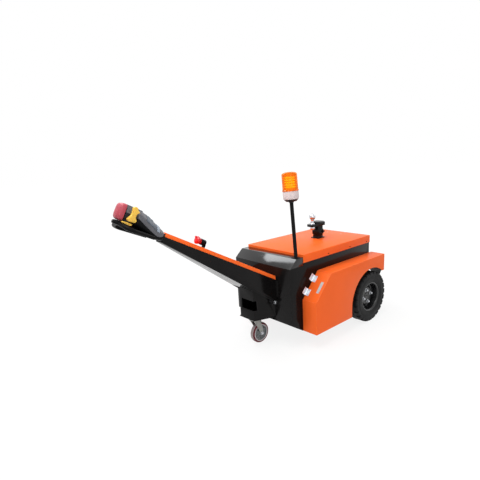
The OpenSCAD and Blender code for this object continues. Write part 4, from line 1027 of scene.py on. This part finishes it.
def makeHubBlock():
    half, high, cut, run, fall = (headLook[key] for key in ("hubHalf", "hubHigh", "hubCut", "hubRun", "hubDrop"))
    outline = [(half, cut), (half, high - fall), (half - run, high), (run - half, high), (-half, high - fall),
               (-half, cut), (cut - half, 0), (half - cut, 0)]
    block = plate("head_hub", outline, headLook["hubTo"] - headLook["hubFrom"])
    roundEdges(block, 2.2, 3, 20, 30)
    place(block, move(0, -headLook["hubFrom"], 0) @ turn(90, "X"))
    return join(block, [loft("head_neck", [headSection(s, 34, -20, top, 7)
                                           for s, top in ((0.3, 22), (3, 23), (30, 28))], 30)])


def makeGrip():
    sweep, splay = math.radians(headLook["sweep"]), math.radians(headLook["splay"])
    points = [(x, -headLook["barS"] + x * math.tan(sweep), 0) for x in (-6, 12, 30, 48)]
    # round the corner, then straight back towards the hub
    for i in range(8):
        angle = sweep - math.pi / 2 + (math.pi / 2 + splay - sweep) * i / 7
        points.append((*onCircle(headLook["cornerX"], -headLook["cornerS"], headLook["cornerR"], angle), 0))
    lastX, lastY = points[-1][:2]
    points += [(lastX - run * math.sin(splay), lastY + run * math.cos(splay), 0) for run in (25, 60, 100, 140)]
    grip = tube("head_grip", points, headLook["gripRadius"], 6)
    smooth(grip, 60)
    wing = plate("head_wing", [(0, -36), (41, -72), (78, -178), (40, -205), (0, -205)], 15)
    place(wing, move(0, 0, -7.5))
    roundEdges(wing, 5, 3, 40, 40)
    join(grip, [wing])
    place(grip, move(0, 0, headLook["gripLevel"]) @ turn(headLook["gripLean"], "Y"))
    chin = loft("head_chin", [headSection(*measures, 16) for measures in (
        (158, 22, -19, 1, 5), (164, 25.5, -20.5, 2, 5), (270, 24, -21, 2, 5), (283, 21, -21, 1.4, 4),
        (288.6, 14, -18.5, -1.5, 3))], 40)
    return join(withMirror(grip), [chin])


rockerLook = {"face": 40.2, "thick": 19, "hollowS": 222, "hollowT": 56, "from": 12, "deep": 2.2, "slope": 0.085,
              "flat": 8, "reach": 30, "tab": 39.5}


# Star-shaped paddle, one on each side of the hub
def makeRocker():
    look = rockerLook
    knots = [(234, 87), (226, 97), (210, 97), (204, 84), (189, 77), (205, 59), (203, 42), (191, 29), (199, 16),
             (220, 15), (238, 14), (245, 25), (230, 46), (229, 68)]
    # each corner is cut twice, which rounds the lobes
    for share in (0.18, 0.2):
        knots = [(blend(a[0], b[0], part), blend(a[1], b[1], part))
                 for a, b in zip(knots, knots[1:] + knots[:1]) for part in (share, 1 - share)]
    paddle = plate("rocker", [(-s, t) for s, t in knots], look["thick"])
    roundEdges(paddle, 4.0, 4, 60)
    # crowned outer face, with a finger hollow in its middle
    for vertex in paddle.data.vertices:
        if vertex.co.z * 1000 > look["from"]:
            away = math.hypot(vertex.co.x * 1000 + look["hollowS"], vertex.co.y * 1000 - look["hollowT"])
            vertex.co.z -= (look["deep"] - look["slope"] * max(0, min(away, look["reach"]) - look["flat"])) / 1000
    smooth(paddle, 40)
    place(paddle, acrossX(look["face"]))
    boss = turned("rockerBoss", [(13, 0), (13, 9), (11, 11), (0, 11)], 32, 32)
    place(boss, move(40, -212, 57) @ turn(90, "Y"))
    tab = plate("rockerTab", [(-264, -2), (-262, 4), (-230, 7), (-207, 7), (-205, 0), (-212, -4), (-240, -4)], 9)
    roundEdges(tab, 2, 2, 30, 40)
    place(tab, acrossX(look["tab"]))
    return withMirror(join(paddle, [boss, tab]))


def makeBellyButton():
    middle, half, high = 50, 36, 46
    # along the head, share of the half width, share of the half height, squareness
    stations = [(255.6, 0.94, 0.95, 5), (256.8, 0.985, 0.99, 5), (259.4, 1.0, 1.0, 5), (269.4, 0.995, 0.995, 4.6),
                (277.4, 0.965, 0.97, 4.2), (283.9, 0.89, 0.91, 3.8), (289, 0.75, 0.80, 3.4), (292.2, 0.52, 0.60, 3.0),
                (293.2, 0.26, 0.34, 2.6)]
    button = loft("belly_cushion", [headSection(s, half * wide, middle - high * tall, middle + high * tall, power)
                                    for s, wide, tall, power in stations])
    subdivide(button, 1)
    smooth(button, 50)
    return button


# pads over the crown: from and to along the head, half span in degrees from its top, how far it stands proud
padLook = {"display": (62, 136, 66, 2.4), "lowKey": (38, 57, 68, 4.2), "slope": 21.3, "steps": 16, "sunk": 2,
           "keys": ((-10, 112, 7, 8), (10, 112, 7, 8), (-10, 91, 7, 8), (10, 91, 7, 8)), "keyLean": 13,
           "keyHigh": 3.4, "keyFoot": 2.6}


# Measures of the shell at a place along the head
def shellAt(s):
    for before, after in zip(shellStations, shellStations[1:]):
        if before[0] <= s <= after[0]:
            share = (s - before[0]) / (after[0] - before[0])
            return [blend(a, b, share) for a, b in zip(before, after)]


# Band that follows the shell's crown
def crownBand(name, start, end, span, proud):
    outer = [math.radians(90 - span + 2 * span * i / padLook["steps"]) for i in range(padLook["steps"] + 1)]
    sections = []
    for s in (start, (start + end) / 2, end):
        _, half, _, wide, high, _, crown = shellAt(s)
        corners = [squared(angle, half + rise, high - wide + rise, crown)
                   for rise, angles in ((proud, outer), (-padLook["sunk"], outer[::-1])) for angle in angles]
        sections.append([(x, -s, wide + z) for x, z in corners])
    band = loft(name, sections)
    roundEdges(band, 1.1, 2, 35, 30)
    return band


def makeKeypad():
    keys = []
    for x, s, wide, tall in padLook["keys"]:
        foot = shellAt(s)[4] + padLook["display"][3] - padLook["keyFoot"]
        lean = turn(math.copysign(padLook["keyLean"], x), "Y") @ turn(-padLook["slope"], "X")
        keys.append(sheet("key", oblong(-wide, -tall, wide, tall), padLook["keyHigh"], 1.0,
                          move(x, -s, foot) @ lean))
    return join(crownBand("keypad_band", *padLook["display"]), keys)


for piece, slot, finish, node, name in (
        # the upper shell half and the chamfer plates take the lighter copy of the head plastic, a painted highlight
        (makeShellHalf("head_shell_top", True), "handle_black", "shellPlastic", "head_housing", None),
        (makeShellHalf("head_shell_foot", False), "handle_black", "poleBlack", "head_housing", None),
        (makeHubHighlightPlates(), "handle_black", "shellPlastic", "head_housing", None),
        (makeHubBlock(), "handle_black", "headPlastic", "head_housing", None),
        (makeGrip(), "handle_black", "poleBlack", "head_housing", None),
        (makeRocker(), "rocker_yellow", "rockerYellow", "head_rocker", "rocker_paddles"),
        (makeBellyButton(), "button_red", "buttonRed", "belly_button", None),
        (makeKeypad(), "keypad_grey", "keypadGrey", "head_keypad", None),
        # the low key band takes the lighter copy of the keypad grey, a painted highlight
        (crownBand("keypad_low_key", *padLook["lowKey"]), "keypad_grey", "keyLight", "head_keypad", None)):
    finishPiece(piece, "tiller", finish, (node,), head, name)
print("tiller head made")

pivotLook = {"y": -824.5, "z": 340, "heads": 160.6}


def makePivot():
    where = at(0, pivotLook["y"], pivotLook["z"]) @ turn(90, "Y")
    bar = turned("pivot_bar", [(11.4, -168), (12, -167), (12, 167), (11.4, 168)], 32, 32)
    heads = spread(hexHead("pivotHead", 19, 8.4, 2.0), "pivotHead", bothEnds(pivotLook["heads"]))
    finishPiece(bar, "chassis", "castBlack", ("pivot_shaft",), where)
    finishPiece(heads, "chassis", "zincPlate", (), where, "pivot_bolt_heads")


makePivot()

slopeFace = at(0, -677, 346) @ turn(46.915, "X")
hingeLook = {"at": (58, 166), "half": 24.5, "rise": 35, "body": 277.6, "sheet": 2.1, "axis": 281.8, "high": 5,
             "clear": 286.2, "reach": 308, "inner": 7.4, "lap": 2, "edge": 0.5, "spread": 15}


# Leaf hinges: both leaves with an inlaid field, and knuckles in turn round the pin, mirrored for the left side
def makeHinges():
    look = hingeLook
    half, third, thick = look["half"], look["half"] * 2 / 3, look["sheet"]
    fixed, moving, fields = [], [], []
    for along in look["at"]:
        stand = slopeFace @ move(look["body"], along, 0) @ turn(-90, "Y")
        lie = slopeFace @ move(0, along, 0)
        root = oblong(look["axis"], -look["inner"], look["clear"] + look["lap"], look["inner"])
        fixed.append(sheet("leaf", oblong(0.4, -half, look["rise"], half), thick, look["edge"],
                           stand @ move(0, 0, -thick)))
        moving += [sheet("leaf", outline, thick, look["edge"], lie)
                   for outline in (oblong(look["clear"], -half, look["reach"], half), root)]
        for middle, leaves in ((-third, fixed), (0, moving), (third, fixed)):
            bar = turned("knuckle", [(3.6, 0.3), (4, 0.7), (4, third - 0.7), (3.6, third - 0.3)], 20)
            leaves.append(place(bar, lie @ move(look["axis"], middle + third / 2, look["high"]) @ turn(90, "X")))
        field = plate("field", oblong(9, 8 - half, look["rise"] - 7, half - 8), 0.5)
        fields.append(place(field, stand @ move(0, 0, -thick - 0.4)))
    frames, inlays, leaves = (join(parts[0], parts[1:]) for parts in (fixed, fields, moving))
    smooth(frames)
    smooth(leaves)
    finishPiece(withMirror(frames), "chassis", "hingeZinc", ("hinge_frames",), name="hinge_frame_leaves")
    finishPiece(withMirror(inlays), "chassis", "zincPlate", name="hinge_fields")
    for piece, word in ((copyPiece(leaves, "leaves", mirrorX), "left"), (leaves, "right")):
        finishPiece(piece, "flap_" + word, "hingeZinc", ("hinge_leaves_" + word,),
                    name="hinge_flap_leaves_" + word)


makeHinges()

smallLook = {"radius": 4.2, "high": 2.4, "skirtX": 280.8, "skirtZ": 613, "skirt": (-394, -134, 90), "coverZ": 657,
             "cover": ((68, 45), (58, 114), (-76, 50), (-76, 109)), "hinge": 0.8, "leafX": 297, "leafRise": 2,
             "frameX": 279.9, "frameRise": 21, "plateX": 367, "plateY": 113.5}


def makeScrews(name, body, finish, matrices):
    screw = socketScrew(smallLook["radius"], smallLook["high"])
    finishPiece(spread(screw, "screw", matrices), body, finish, name=name)


# Screws and blank plates that the drawing leaves to the scene
def makeSmallParts():
    look = smallLook
    makeScrews("skirt_screws", "chassis", "poleBlack",
               [at(side * look["skirtX"], y, look["skirtZ"]) @ turn(side * 90, "Y")
                for side, word in sides for y in look["skirt"]])
    makeScrews("cover_screws", "chassis", "zincPlate", [at(x, y, look["coverZ"]) for x, y in look["cover"]])
    small = Matrix.Scale(look["hinge"], 4)
    along = [y + step * hingeLook["spread"] for y in hingeLook["at"] for step in (-1, 1)]
    for side, word in sides:
        makeScrews("leaf_screws_" + word, "flap_" + word, "zincPlate",
                   [slopeFace @ move(side * look["leafX"], y, look["leafRise"]) @ small for y in along])
        makeScrews("frame_screws_" + word, "chassis", "zincPlate",
                   [slopeFace @ move(side * look["frameX"], y, look["frameRise"]) @ turn(side * 90, "Y") @ small
                    for y in along])
        # blank plate near the flap's outer edge
        label = plate("label", oblong(-11, -43.5, 11, 43.5), 0.7)
        roundEdges(label, 0.3, 1)
        finishPiece(label, "flap_" + word, "labelPlate", (),
                    slopeFace @ move(side * look["plateX"], look["plateY"], -0.1), "blank_plate_" + word)


makeSmallParts()
print("small parts made")
